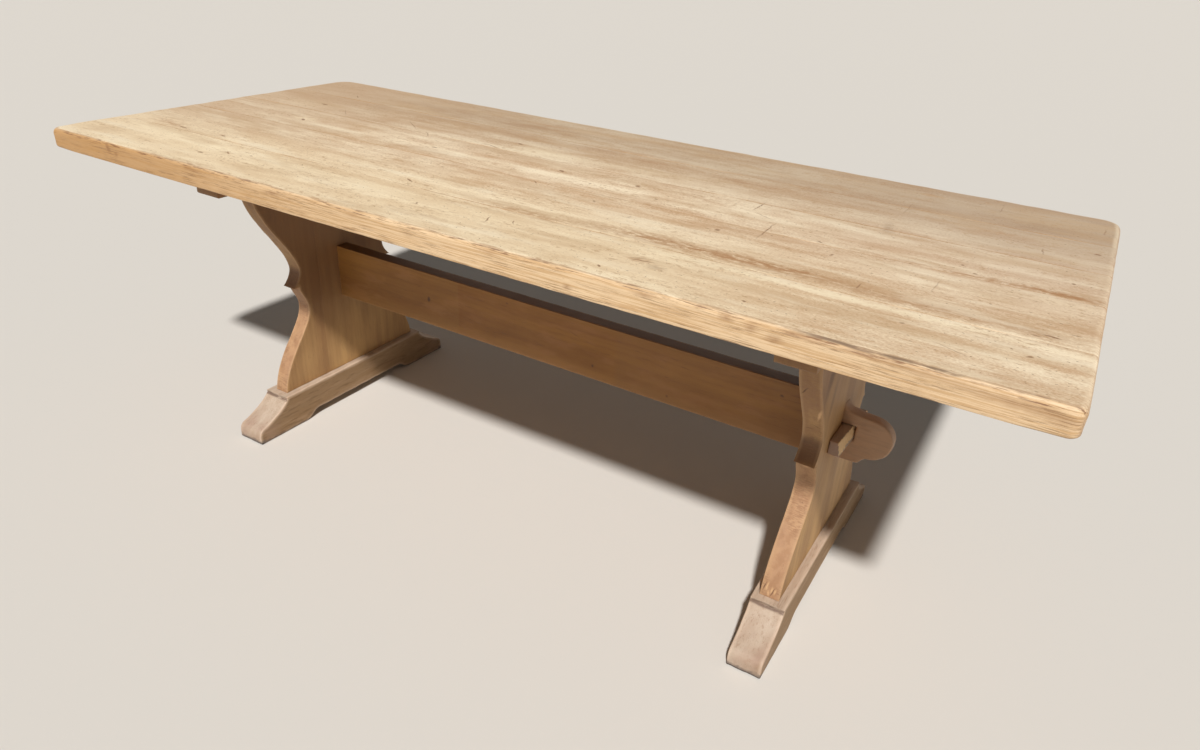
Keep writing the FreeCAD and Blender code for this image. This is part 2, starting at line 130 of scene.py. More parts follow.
class TableWear(bpy.types.PropertyGroup):
    """How far the wood has worn."""
    top_upper_arris: length("Top, upper arris", "Radius that hands and cloths have worn on the top", 8.5)
    top_lower_arris: length("Top, lower arris", "Radius of the top's lower arris", 2.0)
    seam: length("Board joint", "Depth of the fine groove at a glued joint", 0.5)
    upright_arris: length("Upright arris", "Radius of the uprights' sawn edges", 1.7)
    foot_arris: length("Foot arris", "Radius of the feet's edges", 2.8)
    stretcher_arris: length("Stretcher arris", "Radius of the rail's edges", 1.4)
    tenon_arris: length("Tenon arris", "Radius of the round nose's edges", 4.0)
    wedge_arris: length("Wedge arris", "Radius of the wedges' edges", 2.2)
    rail_arris: length("Head rail arris", "Width of the head rails' broken edges", 1.2)


class TableStage(bpy.types.PropertyGroup):
    """Floor, lamps and camera."""
    floor: colour("Floor", "Pale floor", "#dbd5cc")
    backdrop: colour("Backdrop", "What shows behind the floor and in glossy surfaces", "#dbd5cc")
    key: FloatProperty(name="Key", description="Strength of the main lamp", default=3.7, min=0.0)
    key_softness: FloatProperty(name="Key softness", description="Width of the main lamp as seen",
                                default=math.radians(3.2), subtype="ANGLE", unit="ROTATION")
    sky: FloatProperty(name="Sky", description="Strength of the light from all round", default=0.1)
    lens: FloatProperty(name="Lens", description="Focal length in millimetres", default=25.196)


SETTINGS = {"trestle_colours": TableColours, "trestle_wear": TableWear, "trestle_stage": TableStage}


# --- The frame ------------------------------------------------------------------------------------

def box_mm(node):
    """Lowest and highest corner of a node of the frame, in millimetres."""
    return [np.array(corner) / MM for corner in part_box(node)]


def welded(node):
    """A working copy of a node of the frame, with its loose triangles joined."""
    work = bmesh.new()
    work.from_mesh(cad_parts[node].data)
    bmesh.ops.remove_doubles(work, verts=work.verts, dist=WELD)
    return work


def section(node, axis, at):
    """Closed outlines where the plane axis = at cuts a node of the frame, the largest one first."""
    cut = welded(node)
    normal = Vector([float(i == axis) for i in range(3)])
    found = bmesh.ops.bisect_plane(cut, geom=cut.verts[:] + cut.edges[:] + cut.faces[:],
                                   plane_co=normal * at * MM, plane_no=normal)
    beside = {}
    for edge in found["geom_cut"]:
        if isinstance(edge, bmesh.types.BMEdge):
            for vert in edge.verts:
                beside.setdefault(vert, []).append(edge.other_vert(vert))
    loops = []
    while beside:
        vert, loop = next(iter(beside)), []
        while vert in beside:
            loop.append(np.delete(np.array(vert.co), axis) / MM)
            ends = beside.pop(vert)
            vert = ends[0] if ends[0] in beside else ends[1]
        loops.append(np.array(loop))
    cut.free()
    return sorted(loops, key=lambda loop: abs(area(loop)), reverse=True)


def area(loop):
    """Signed area of a closed outline: above zero if it runs anticlockwise."""
    ahead = np.roll(loop, -1, 0)
    return 0.5 * np.sum(loop[:, 0] * ahead[:, 1] - loop[:, 1] * ahead[:, 0])


def turns(loop):
    """The angle, in degrees, by which a closed outline turns at each point."""
    back, ahead = loop - np.roll(loop, 1, 0), np.roll(loop, -1, 0) - loop
    cross = back[:, 0] * ahead[:, 1] - back[:, 1] * ahead[:, 0]
    return np.degrees(np.abs(np.arctan2(cross, (back * ahead).sum(1))))


def even(loop, step=OUTLINE_STEP, hole=False):
    """A closed outline with evenly spaced points. Corners stay, and the facets of round stretches go.
    It runs anticlockwise, or clockwise round a hole."""
    if (area(loop) < 0) != hole:
        loop = loop[::-1]
    loop = loop[np.linalg.norm(loop - np.roll(loop, 1, 0), axis=1) > 1e-3]
    loop = loop[turns(loop) > 0.2]
    corners = np.flatnonzero(turns(loop) > CORNER_DEGREES)
    loop = np.roll(loop, -(corners[0] if len(corners) else 0), 0)
    corners = np.flatnonzero(turns(loop) > CORNER_DEGREES)
    stops = [*(corners if len(corners) else [0]), len(loop)]
    closed = np.vstack([loop, loop[:1]])
    points = []
    for first, last in zip(stops[:-1], stops[1:]):
        run = closed[first:last + 1]
        along = np.concatenate([[0], np.cumsum(np.linalg.norm(np.diff(run, axis=0), axis=1))])
        at = np.linspace(0, along[-1], max(2, round(along[-1] / step)) + 1)
        run = np.stack([np.interp(at, along, run[:, i]) for i in (0, 1)], 1)
        for _ in range(3):
            run[1:-1] = 0.5 * run[1:-1] + 0.25 * (run[:-2] + run[2:])
        points.append(run[:-1])
    return np.vstack(points)


def wander(points, size, seed, octaves=3):
    """Smooth random values from 0 to 1, with bumps about size millimetres across."""
    draw = np.random.default_rng(seed)
    points = np.asarray(points, float) / size
    total = np.zeros(len(points))
    for octave in range(octaves):
        waves = draw.normal(size=(7, points.shape[1]))
        waves /= np.linalg.norm(waves, axis=1, keepdims=True)
        phases = draw.uniform(0, 2 * math.pi, 7)
        total += np.sin(points @ waves.T * 2 * math.pi * 2 ** octave + phases).sum(1) / 2 ** octave
    return 0.5 + 0.5 * np.tanh(total / 3.2)


# --- Meshes ---------------------------------------------------------------------------------------

def linked(name, data):
    """A new object in the scene."""
    made = bpy.data.objects.new(name, data)
    bpy.context.scene.collection.objects.link(made)
    return made


def evaluated(piece):
    """The plain mesh that a piece's modifiers leave."""
    return bpy.data.meshes.new_from_object(piece.evaluated_get(bpy.context.evaluated_depsgraph_get()))


class Shell:
    """The points, faces and wear of a closed mesh that is built from patches."""

    def __init__(self):
        self.points, self.edge, self.faces = [], [], []

    def patch(self, points, faces, edge):
        """Adds points with their wear, and faces between them."""
        start = sum(len(p) for p in self.points)
        self.points.append(np.asarray(points, float))
        self.edge.append(np.asarray(edge, float))
        self.faces += [[start + i for i in face] for face in faces]

    def grid(self, rows, edge, closed=False):
        """Adds a patch of four-sided faces between rows of points. Closed rows meet their own start."""
        rows = np.asarray(rows, float)
        high, wide = rows.shape[:2]
        last = wide if closed else wide - 1
        starts = [(row * wide + a, row * wide + (a + 1) % wide)
                  for row in range(high - 1) for a in range(last)]
        faces = [(a, b, b + wide, a + wide) for a, b in starts]
        self.patch(rows.reshape(-1, 3), faces, np.asarray(edge, float).ravel())

    def piece(self, name):
        """The mesh object, in metres, with its patches joined and its faces outwards."""
        mesh = bpy.data.meshes.new(name)
        mesh.from_pydata(np.vstack(self.points) * MM, [], self.faces)
        worn = mesh.attributes.new("edge", "FLOAT", "POINT")
        worn.data.foreach_set("value", np.concatenate(self.edge).astype(np.float32))
        return tidied(mesh, name)


def tidied(mesh, name, merge=0.02):
    """An object for the mesh, with doubles merged, faces outwards and round stretches smooth."""
    work = bmesh.new()
    work.from_mesh(mesh)
    bmesh.ops.remove_doubles(work, verts=work.verts, dist=merge * MM)
    bmesh.ops.dissolve_degenerate(work, edges=work.edges, dist=1e-7)
    bmesh.ops.recalc_face_normals(work, faces=work.faces)
    work.to_mesh(mesh)
    work.free()
    mesh.shade_smooth()
    mesh.set_sharp_from_angle(angle=math.radians(SMOOTH_DEGREES))
    return linked(name, mesh)


def ordered(work):
    """A mesh of a working copy's points and faces in the order of their places. Bevel leaves them in
    another order at each run."""
    verts = sorted(work.verts, key=lambda vert: vert.co[:])
    rank = {vert: number for number, vert in enumerate(verts)}
    faces = [[rank[vert] for vert in face.verts] for face in work.faces]
    faces = sorted(face[face.index(min(face)):] + face[:face.index(min(face))] for face in faces)
    mesh = bpy.data.meshes.new("ordered")
    mesh.from_pydata([vert.co for vert in verts], [], faces)
    work.free()
    return mesh


def inward(loop):
    """At each point of an outline, the step that moves both its sides into the wood by one."""
    back, ahead = loop - np.roll(loop, 1, 0), np.roll(loop, -1, 0) - loop
    sides = [np.stack([-side[:, 1], side[:, 0]], 1) / np.linalg.norm(side, axis=1, keepdims=True)
             for side in (back, ahead)]
    return (sides[0] + sides[1]) / (1 + np.clip((sides[0] * sides[1]).sum(1), -0.9, 1))[:, None]


def inside(points, loop):
    """Which points lie inside a closed outline."""
    found = np.zeros(len(points), bool)
    for (x0, y0), (x1, y1) in zip(loop, np.roll(loop, -1, 0)):
        if y0 != y1:
            spans = (points[:, 1] < y0) != (points[:, 1] < y1)
            found ^= spans & (points[:, 0] < x0 + (points[:, 1] - y0) * (x1 - x0) / (y1 - y0))
    return found


def between_loops(points, loops):
    """Which points lie inside the outline loops[0] and outside the holes loops[1:]."""
    found = inside(points, loops[0])
    for hole in loops[1:]:
        found &= ~inside(points, hole)
    return found


def fill(loops, cell):
    """Points and triangles that fill the outline loops[0] around the holes loops[1:], and for each point
    the gap to the nearest outline and which point of the outlines is nearest."""
    rim = np.vstack(loops)
    low, high = rim.min(0), rim.max(0)
    count = np.maximum(1, np.round((high - low) / cell)).astype(int)
    across, up = [np.linspace(low[i], high[i], count[i] + 1)[1:-1] for i in (0, 1)]
    inner = np.stack(np.meshgrid(across, up), -1).reshape(-1, 2)
    inner = inner[between_loops(inner, loops)]
    inner = inner[nearest(inner, rim)[0] > 0.45 * cell]
    edges, start = [], 0
    for loop in loops:
        edges += [(start + i, start + (i + 1) % len(loop)) for i in range(len(loop))]
        start += len(loop)
    corners = [Vector(p) for p in np.vstack([rim, inner])]
    points, _, faces = delaunay_2d_cdt(corners, edges, [], 1, 1e-6)[:3]
    points = np.array([tuple(p) for p in points])
    centres = np.array([points[list(face)].mean(0) for face in faces])
    kept = between_loops(centres, loops)
    return points, [face for face, keep in zip(faces, kept) if keep], *nearest(points, rim)


def nearest(points, rim):
    """Each point's distance to the nearest point of an outline, and that point's number."""
    away = [((rim - p) ** 2).sum(1) for p in points]
    return np.array([np.sqrt(a.min()) for a in away]), np.array([a.argmin() for a in away], int)


def place(flat, axis, height):
    """Points of an outline's plane in space, at a height along the axis across it."""
    return np.insert(np.asarray(flat, float), axis, height, axis=1)


def unfolded(loop, step, worn):
    """Arris radii along an outline, made smaller where the inset outline would fold over itself."""
    side = np.roll(loop, -1, 0) - loop
    folded = np.ones(len(loop), bool)
    while folded.any():
        rim = loop + step * worn[:, None]
        folded = ((np.roll(rim, -1, 0) - rim) * side).sum(1) < 0.25 * (side ** 2).sum(1)
        worn = np.where(folded | np.roll(folded, 1), 0.85 * worn, worn)
    return worn


def plank(shell, loops, axis, low, high, radius, rough=0.0, hollow=0.0, seed=0, cell=CELL):
    """Adds a closed plank: outlines that lie across axis, from low to high along it, with worn arrises.
    low and high are functions of the outline's points, and radius is one too."""
    quarter = np.linspace(0, math.pi / 2, ARRIS_STEPS + 1)
    rims, shares = [], []
    for loop in loops:
        step = inward(loop)
        worn = unfolded(loop, step, radius(loop))
        thick = float(np.mean(high(loop) - low(loop)))
        wall = np.linspace(0, 1, max(2, round(thick / cell)))[1:-1]
        rows = [(math.cos(angle), 0.0, worn * (1 - math.sin(angle))) for angle in quarter[::-1]]
        rows += [(1.0, share, worn * (1 - 2 * share)) for share in wall]
        rows += [(math.cos(angle), 1.0, -worn * (1 - math.sin(angle))) for angle in quarter]
        placed, edge = [], []
        for out, share, lift in rows:
            dent = rough * wander(place(loop, axis, share * thick), DENT_SIZE, seed) * (worn > 1)
            flat = loop + step * (worn * (1 - out) + dent * out)[:, None]
            bottom, top = low(flat), high(flat)
            height = bottom + (top - bottom) * share + lift
            near = np.minimum(height - bottom, top - height) - worn
            placed.append(place(flat, axis, height))
            edge.append(np.clip(1 - near / WEAR_REACH, 0, 1) * np.clip(worn - SHARP_ARRIS, 0, 1))
        shell.grid(placed, edge, closed=True)
        rims.append(loop + step * worn[:, None])
        shares.append(np.clip(worn - SHARP_ARRIS, 0, 1))
    flat, faces, gaps, beside = fill(rims, cell)
    worn = np.clip(1 - gaps / WEAR_REACH, 0, 1) * np.concatenate(shares)[beside]
    for face, into in ((low, 1), (high, -1)):
        bumps = wander(place(flat, axis, into * 50.0), HOLLOW_SIZE, seed + 1)
        sunk = hollow * bumps * np.clip(gaps / HOLLOW_EDGE, 0, 1)
        shell.patch(place(flat, axis, face(flat) + into * sunk), faces, worn)
    return shell


def level(height):
    """A face at one height, as plank takes it."""
    return lambda points: np.full(len(points), float(height))


def worn_arris(radius, seed):
    """Arris radius along an outline, as plank takes it, which wanders by a third either way."""
    return lambda points: radius * (0.7 + 0.6 * wander(points, ARRIS_WANDER, seed))


def finish_piece(piece, body, slot, material, *nodes):
    """Gives a piece its material, hangs it under its body's empty, and hides the frame's nodes that it
    replaces.
    """
    piece.data.materials.clear()
    piece.data.materials.append(material)
    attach(piece, body)
    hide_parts(*nodes)


# --- Wood materials -------------------------------------------------------------------------------

MIX_A, MIX_B, MIX_COLOUR = 6, 7, 2      # the colour sockets of a Mix node


def add(tree, kind, inputs=None, **settings):
    """Adds a node with its settings, and sets or links its inputs. A node given as a value stands for its
    first output, and a list of nodes is for a socket that takes several."""
    node = tree.nodes.new(kind)
    for name, value in settings.items():
        setattr(node, name, value)
    for socket, value in (inputs or {}).items():
        sources = value if isinstance(value, list) else [value]
        sources = [one.outputs[0] if isinstance(one, bpy.types.Node) else one for one in sources]
        if isinstance(sources[0], bpy.types.NodeSocket):
            for source in sources:
                tree.links.new(source, node.inputs[socket])
        else:
            node.inputs[socket].default_value = value
    return node


def empty_material(name):
    """A new material, and the function that adds a node to it."""
    material = bpy.data.materials.new(name)
    material.use_nodes = True
    material.node_tree.nodes.clear()
    return material, partial(add, material.node_tree)


# Sizes of the figure's bumps in millimetres, along the grain and across it, with noise detail and
# roughness. Pores are about 0.3 mm wide in oak, which is too fine to show, so they are drawn 1.6 mm wide.
FIGURE = {
    "Bands": ((900, 60, 60), 2, 0.5),
    "Streaks": ((760, 15, 15), 4, 0.55),
    "Fine streaks": ((230, 4.2, 4.2), 3, 0.6),
    "Fibres": ((60, 1.7, 1.7), 2, 0.6),
    "Clouds": ((230, 120, 120), 3, 0.5),
    "Mottle": ((92, 28, 28), 5, 0.66),
    "Pores": ((26, 1.6, 1.6), 1, 0.5),
    "Grit": ((5, 3, 3), 2, 0.6),
}
FIGURE_GROUP = "Oak figure"
RING_BEND = ((430, 70, 70), 2, 0.5)      # how quickly the growth rings wander
RING_TAPER = 0.012                       # how much the rings open along the board
LATEWOOD = (0.35, 0.97)                  # share of a ring over which it darkens
SEED_STEP = 917.0                        # millimetres of wood between one seed's figure and the next

GRAIN_ORDER = {X: (0, 1, 2), Y: (1, 0, 2), Z: (2, 0, 1)}     # object axes, the one along the grain first
# How much each part of the figure darkens the wood: as planed, as scrubbed on the top, as stripped below.
PLANED = {"Streaks": 1.5, "Zones": 0.9, "Clouds": 0.75, "Fine streaks": 0.6, "Fibres": 0.35}
SCRUBBED = {"Bands": 2.1, "Streaks": 0.45, "Zones": 0.2, "Clouds": 1.3, "Mottle": 1.8, "Fine streaks": 0.2,
            "Fibres": 0.2, "Grit": 1.5}
STRIPPED = {"Bands": 1.6, "Streaks": 0.7, "Zones": 0.25, "Clouds": 0.9, "Mottle": 0.7,
            "Fine streaks": 0.15, "Fibres": 0.15}


def oak_figure():
    """Node group for the pattern that growth leaves in oak, at a point in millimetres, grain along X."""
    tree = bpy.data.node_groups.new(FIGURE_GROUP, "ShaderNodeTree")
    for name, kind in (("Point", "Vector"), ("Pith", "Vector"),
                       ("Ring width", "Float"), ("Ring bend", "Float")):
        tree.interface.new_socket(name, in_out="INPUT", socket_type="NodeSocket" + kind)
    for name in ("Rings", "Zones", *FIGURE):
        tree.interface.new_socket(name, in_out="OUTPUT", socket_type="NodeSocketFloat")
    node = partial(add, tree)
    given = node("NodeGroupInput").outputs

    def noise(size, detail, roughness):
        scaled = node("ShaderNodeVectorMath", {0: given["Point"], 1: [1 / s for s in size]},
                      operation="MULTIPLY")
        return node("ShaderNodeTexNoise", {"Vector": scaled, "Scale": 1.0, "Detail": detail,
                                           "Roughness": roughness})

    bend = node("ShaderNodeVectorMath", {0: noise(*RING_BEND).outputs["Color"], 1: (0.5,) * 3},
                operation="SUBTRACT")
    bend = node("ShaderNodeVectorMath", {0: bend, "Scale": given["Ring bend"]}, operation="SCALE")
    moved = node("ShaderNodeVectorMath", {0: given["Point"], 1: bend}, operation="ADD")
    moved = node("ShaderNodeVectorMath", {0: moved, 1: given["Pith"]}, operation="SUBTRACT")
    moved = node("ShaderNodeVectorMath", {0: moved, 1: (RING_TAPER, 1, 1)}, operation="MULTIPLY")
    reach = node("ShaderNodeVectorMath", {0: moved}, operation="LENGTH").outputs["Value"]
    ring = node("ShaderNodeMath", {0: reach, 1: given["Ring width"]}, operation="DIVIDE")
    phase = node("ShaderNodeMath", {0: ring}, operation="FRACT")
    line = node("ShaderNodeMapRange", {"Value": phase, "From Min": LATEWOOD[0], "From Max": LATEWOOD[1]},
                interpolation_type="SMOOTHSTEP")
    zones = node("ShaderNodeTexNoise", {"W": ring, "Scale": 0.31, "Detail": 2.0}, noise_dimensions="1D")
    node("NodeGroupOutput", {"Rings": line, "Zones": zones,
                             **{name: noise(*bumps) for name, bumps in FIGURE.items()}})


class Oak:
    """A material of stripped oak. Layers are laid over its colour one by one, where masks say."""

    def __init__(self, name, grain, seed, pith, light, dark, contrast=1.0, rings=0.1, ring_width=7.0,
                 ring_bend=34.0, layers=STRIPPED):
        self.material, self.node = empty_material(name)
        self.spot = self.node("ShaderNodeTexCoord").outputs
        self.point = self.node("ShaderNodeVectorMath", {0: self.spot["Object"], "Scale": 1 / MM},
                               operation="SCALE")
        self.parts = self.node("ShaderNodeSeparateXYZ", {0: self.point}).outputs
        order = GRAIN_ORDER[grain]
        turned = self.node("ShaderNodeCombineXYZ", {i: self.parts[axis] for i, axis in enumerate(order)})
        self.along = self.node("ShaderNodeVectorMath", {0: turned, 1: (seed * SEED_STEP, 0, 0)},
                               operation="ADD")
        self.figure = self.node("ShaderNodeGroup", {
            "Point": self.along, "Pith": [pith[axis] for axis in order], "Ring width": ring_width,
            "Ring bend": ring_bend}, node_tree=bpy.data.node_groups[FIGURE_GROUP]).outputs
        tone = 0.5
        for layer, share in layers.items():
            swing = self.node("ShaderNodeMath", {0: self.figure[layer], 1: 0.5}, operation="SUBTRACT")
            tone = self.node("ShaderNodeMath", {0: swing, 1: share * contrast, 2: tone},
                             operation="MULTIPLY_ADD")
        tone = self.node("ShaderNodeMath", {0: self.figure["Rings"], 1: rings, 2: tone},
                         operation="MULTIPLY_ADD")
        self.colour, self.height = (*light, 1), self.figure["Fibres"]
        self.tint(dark, 1.0, tone)
        self.press(0.35, self.figure["Rings"])

    def tint(self, colour, strength, *masks, depth=0.0):
        """Lays a colour over the wood where every mask is above zero, and may press it in there."""
        mask = self.both(*masks)
        rgb = linear(colour) if isinstance(colour, str) else colour
        self.colour = self.node("ShaderNodeMix", {0: self.both(mask, strength), MIX_A: self.colour,
                                                  MIX_B: (*rgb, 1)}, data_type="RGBA").outputs[MIX_COLOUR]
        if depth:
            self.press(depth, mask)

    def press(self, depth, mask):
        """Sinks the surface where the mask is above zero; depth is in units of the fibres' height."""
        self.height = self.node("ShaderNodeMath", {0: mask, 1: -depth, 2: self.height},
                                operation="MULTIPLY_ADD")

    def both(self, mask, *others):
        """Where every mask is above zero."""
        for other in others:
            mask = self.node("ShaderNodeMath", {0: mask, 1: other}, operation="MULTIPLY")
        return mask

    def between(self, value, start, end):
        """A mask that rises from 0 at start to 1 at end, or falls if start is the higher."""
        low, high = sorted((start, end))
        return self.node("ShaderNodeMapRange", {
            "Value": value, "From Min": low, "From Max": high, "To Min": float(start > end),
            "To Max": float(start < end)}, interpolation_type="SMOOTHSTEP")

    def span(self, axis, start, end):
        """A mask that sets in along an axis of the table, between two places in millimetres."""
        return self.between(self.parts[axis], start, end)

    def out(self, axis):
        """Distance from the table's middle along an axis, the same to both sides."""
        return self.node("ShaderNodeMath", {0: self.parts[axis]}, operation="ABSOLUTE")

    def facing(self, direction, start=0.35, end=0.8, either=False):
        """Where the surface faces that direction of the table, or either way along it."""
        dot = self.node("ShaderNodeVectorMath", {0: self.spot["Normal"], 1: direction},
                        operation="DOT_PRODUCT").outputs["Value"]
        if either:
            dot = self.node("ShaderNodeMath", {0: dot}, operation="ABSOLUTE")
        return self.between(dot, start, end)

    def carried(self, name, start, end):
        """A mask from an attribute that the mesh carries, such as the wear of its arrises."""
        found = self.node("ShaderNodeAttribute", {}, attribute_name=name).outputs["Fac"]
        return self.between(found, start, end)

    def noise(self, size, detail, roughness, shift, grain=True):
        """Noise whose bumps have these sizes in millimetres, along the grain first or along X, Y, Z."""
        scaled = self.node("ShaderNodeVectorMath", {0: self.along if grain else self.point,
                                                    1: [1 / s for s in size], 2: (shift,) * 3},
                           operation="MULTIPLY_ADD")
        return self.node("ShaderNodeTexNoise", {"Vector": scaled, "Scale": 1.0, "Detail": detail,
                                                "Roughness": roughness})

    def patchy(self, size, detail, roughness, shift, start, end, grain=True):
        """A mask of uneven patches: noise, as above, that is 0 at start and 1 at end."""
        return self.between(self.noise(size, detail, roughness, shift, grain), start, end)

    def marks(self, places, spread, across=Z):
        """A mask of spots at (x, y, z, half length, half width, turn, strength), on a face that across
        stands on, whose outlines stray by up to half of spread."""
        shake = self.node("ShaderNodeVectorMath", {0: self.point, 1: (1 / STRAY_SIZE,) * 3},
                          operation="MULTIPLY")
        shake = self.node("ShaderNodeTexNoise", {"Vector": shake, "Scale": 1.0, "Detail": 2.0})
        shake = self.node("ShaderNodeVectorMath", {0: shake.outputs["Color"], 1: (spread,) * 3,
                                                   2: (-0.5 * spread,) * 3}, operation="MULTIPLY_ADD")
        spot = self.node("ShaderNodeVectorMath", {0: self.point, 1: shake}, operation="ADD")
        total = 0.0
        for x, y, z, long, wide, turn, strength in places:
            rotation, scale = [0.0] * 3, [wide] * 3
            scale[Y if across == X else X] = long
            rotation[across], scale[across] = math.radians(turn), MARK_DEPTH
            local = self.node("ShaderNodeMapping", {"Vector": spot, "Location": (x, y, z),
                                                    "Rotation": rotation, "Scale": scale},
                              vector_type="TEXTURE")
            near = self.node("ShaderNodeTexGradient", {"Vector": local}, gradient_type="SPHERICAL")
            total = self.node("ShaderNodeMath", {0: near.outputs["Fac"], 1: strength, 2: total},
                              operation="MULTIPLY_ADD")
        return self.node("ShaderNodeClamp", {0: total})

    def pores(self, colour, strength):
        """Dark dashes of open pores, most of them in the rings' earlywood."""
        self.tint(colour, strength, self.between(self.figure["Pores"], 0.6, 0.7),
                  self.between(self.figure["Rings"], -0.4, 1.0), depth=1.2)

    def finish(self, roughness, bump):
        """Joins the colour and the surface's height to the shader."""
        bumped = self.node("ShaderNodeBump",
                           {"Strength": bump, "Distance": RELIEF * MM, "Height": self.height})
        gloss = self.node("ShaderNodeMapRange", {
            "Value": self.figure["Clouds"], "From Min": 0.3, "From Max": 0.7,
            "To Min": roughness - 0.05, "To Max": roughness + 0.06})
        # Dry oak: a matt dielectric, with an index of refraction near 1.5.
        shader = self.node("ShaderNodeBsdfPrincipled", {"Base Color": self.colour, "IOR": 1.5,
                                                        "Roughness": gloss, "Normal": bumped})
        self.node("ShaderNodeOutputMaterial", {0: shader})
        return self.material


# --- The top --------------------------------------------------------------------------------------

# Marks that use has left on the top: (x, y, half length, half width, turn in degrees, strength).
STAINS = (
    (705, 381, 34, 14, 0, 0.8), (-250, 362, 90, 12, 2, 0.5), (60, 262, 190, 18, 0, 0.45),
    (435, 205, 120, 38, 0, 0.45), (120, 222, 300, 60, 0, 0.35), (150, 44, 210, 17, -3, 0.5),
    (330, 36, 90, 14, 0, 0.6), (30, 16, 60, 12, 0, 0.5), (-915, -246, 110, 22, -4, 0.75),
    (-734, -246, 34, 14, 0, 0.5), (-940, -222, 60, 14, 0, 0.4), (420, -240, 260, 34, 0, 1.2),
    (130, -262, 160, 20, 0, 0.9), (640, -232, 170, 30, 0, 0.9), (860, -245, 220, 28, 0, 0.9),
    (480, -105, 110, 14, 0, 0.45), (880, -64, 260, 12, 0, 1.0), (870, 206, 75, 14, 0, 0.6),
    (404, -342, 30, 14, 0, 0.7), (-296, -117, 20, 12, 0, 0.6), (-600, -336, 24, 10, 0, 0.4),
    (-560, -430, 60, 14, 0, 0.45), (1010, -60, 70, 24, 0, 0.9), (-120, 50, 70, 22, 0, 0.3),
)
SMUDGES = (
    (690, 92, 52, 15, -82, 0.9), (922, 300, 52, 34, 10, 0.5), (442, -358, 22, 14, 0, 0.8),
    (-700, 218, 46, 70, 20, 0.28), (700, 262, 60, 12, 90, 0.3), (-590, 90, 150, 40, 0, 0.2),
    (890, 130, 130, 50, 0, 0.3), (-360, -40, 180, 34, 0, 0.2), (980, -240, 60, 18, 0, 0.4),
)
DENTS = (
    (-834, 153, 17, 6, -12, 2.0), (-732, -11, 12, 6, -35, 2.2), (-640, -369, 9, 5, 0, 1.8),
    (-595, -336, 15, 3, -30, 1.3), (-312, -5, 10, 4, 0, 1.8), (-188, 154, 12, 5, -20, 1.4),
    (-222, 92, 34, 2, -18, 1.4), (-847, 286, 20, 2, -42, 1.5), (-172, -241, 17, 3, -28, 1.6),
    (17, 20, 11, 5, -30, 1.8), (25, -88, 11, 2, -40, 1.4), (200, 26, 10, 7, -45, 1.6),
    (114, -22, 4, 3, 0, 1.6), (184, -120, 9, 3, -50, 1.8), (271, -30, 5, 4, 0, 1.6),
    (444, -124, 7, 6, 90, 1.6), (612, -66, 8, 3, -20, 1.8), (843, -23, 4, 3, 0, 1.8),
    (868, -52, 5, 3, 0, 1.8), (1032, 191, 7, 4, 0, 2.2), (1009, 2, 5, 4, 0, 2.0),
    (368, -406, 7, 3, -40, 2.0), (606, -393, 5, 3, 0, 1.6), (816, -326, 5, 4, 0, 1.6),
    (983, -332, 6, 4, 30, 1.8), (412, -343, 26, 2, 12, 1.8), (398, -337, 16, 2, 30, 1.6),
    (1000, -244, 15, 3, -8, 1.9), (982, -253, 9, 2, 0, 1.6), (1029, -219, 9, 2, -12, 1.6),
    (284, -162, 8, 4, 60, 1.2), (-724, -248, 11, 4, -10, 1.6), (-860, -253, 22, 3, -6, 1.6),
    (-540, -322, 6, 3, 0, 1.2), (-410, -300, 7, 2, -30, 1.2), (-60, -345, 7, 3, -60, 1.2),
    (95, -335, 22, 2, -70, 1.2), (140, -320, 12, 2, -60, 1.3), (727, -228, 16, 2, 90, 1.4),
    (649, -117, 8, 3, 80, 1.2), (-500, 130, 60, 2, -38, 0.9), (-410, 82, 32, 2, -44, 0.9),
)
CRACKS = (
    (449, 62, 44, 2.2, 90, 1.3), (479, 9, 34, 2.0, -24, 1.2), (514, -70, 66, 2.2, -88, 1.3),
    (690, 250, 60, 2.0, 90, 0.7), (948, 144, 22, 2.0, -84, 1.3), (1036, 348, 24, 2.0, 88, 1.2),
    (848, 372, 34, 1.8, 90, 0.9), (826, -146, 44, 1.8, 88, 0.7), (-720, 118, 50, 1.8, -44, 0.8),
    (890, -372, 40, 1.8, -24, 0.9), (-60, 205, 30, 1.8, -50, 0.6), (290, 190, 36, 1.8, 60, 0.5),
)
PALES = (
    (-100, 120, 130, 60, 0, 0.8), (120, 130, 260, 36, 0, 0.45), (-735, 2, 60, 26, 0, 0.8),
    (-316, 6, 34, 16, 0, 0.5), (640, -290, 520, 13, 0, 1.2), (-820, -300, 230, 22, 0, 0.6),
    (-880, 120, 120, 40, 0, 0.4), (30, -20, 60, 20, 0, 0.4), (-300, -330, 420, 40, 0, 0.35),
    (1000, -100, 60, 26, 0, 0.35), (250, -385, 420, 20, 0, 0.4), (900, -350, 170, 28, 0, 0.35),
)
# Marks on the front edge of the top: (x, z, half length, half height, turn, strength).
EDGE_STAINS = (
    (-845, 738, 14, 9, 60, 1.2), (-820, 728, 9, 7, 0, 1.0), (337, 719, 12, 7, 0, 1.0),
    (602, 741, 16, 9, 0, 1.0), (640, 737, 14, 11, 0, 0.9), (676, 729, 18, 8, 0, 0.9),
    (-560, 741, 36, 6, 0, 0.8), (-330, 738, 30, 6, 0, 0.7), (470, 742, 30, 6, 0, 0.9),
    (720, 743, 40, 5, 0, 0.8), (-120, 739, 26, 7, 0, 0.6), (180, 741, 30, 5, 0, 0.6),
    (985, 734, 84, 10, 0, 0.7), (880, 740, 80, 7, 0, 0.6), (1040, 728, 36, 12, 0, 0.5),
    (800, 742, 60, 6, 0, 0.7),
)
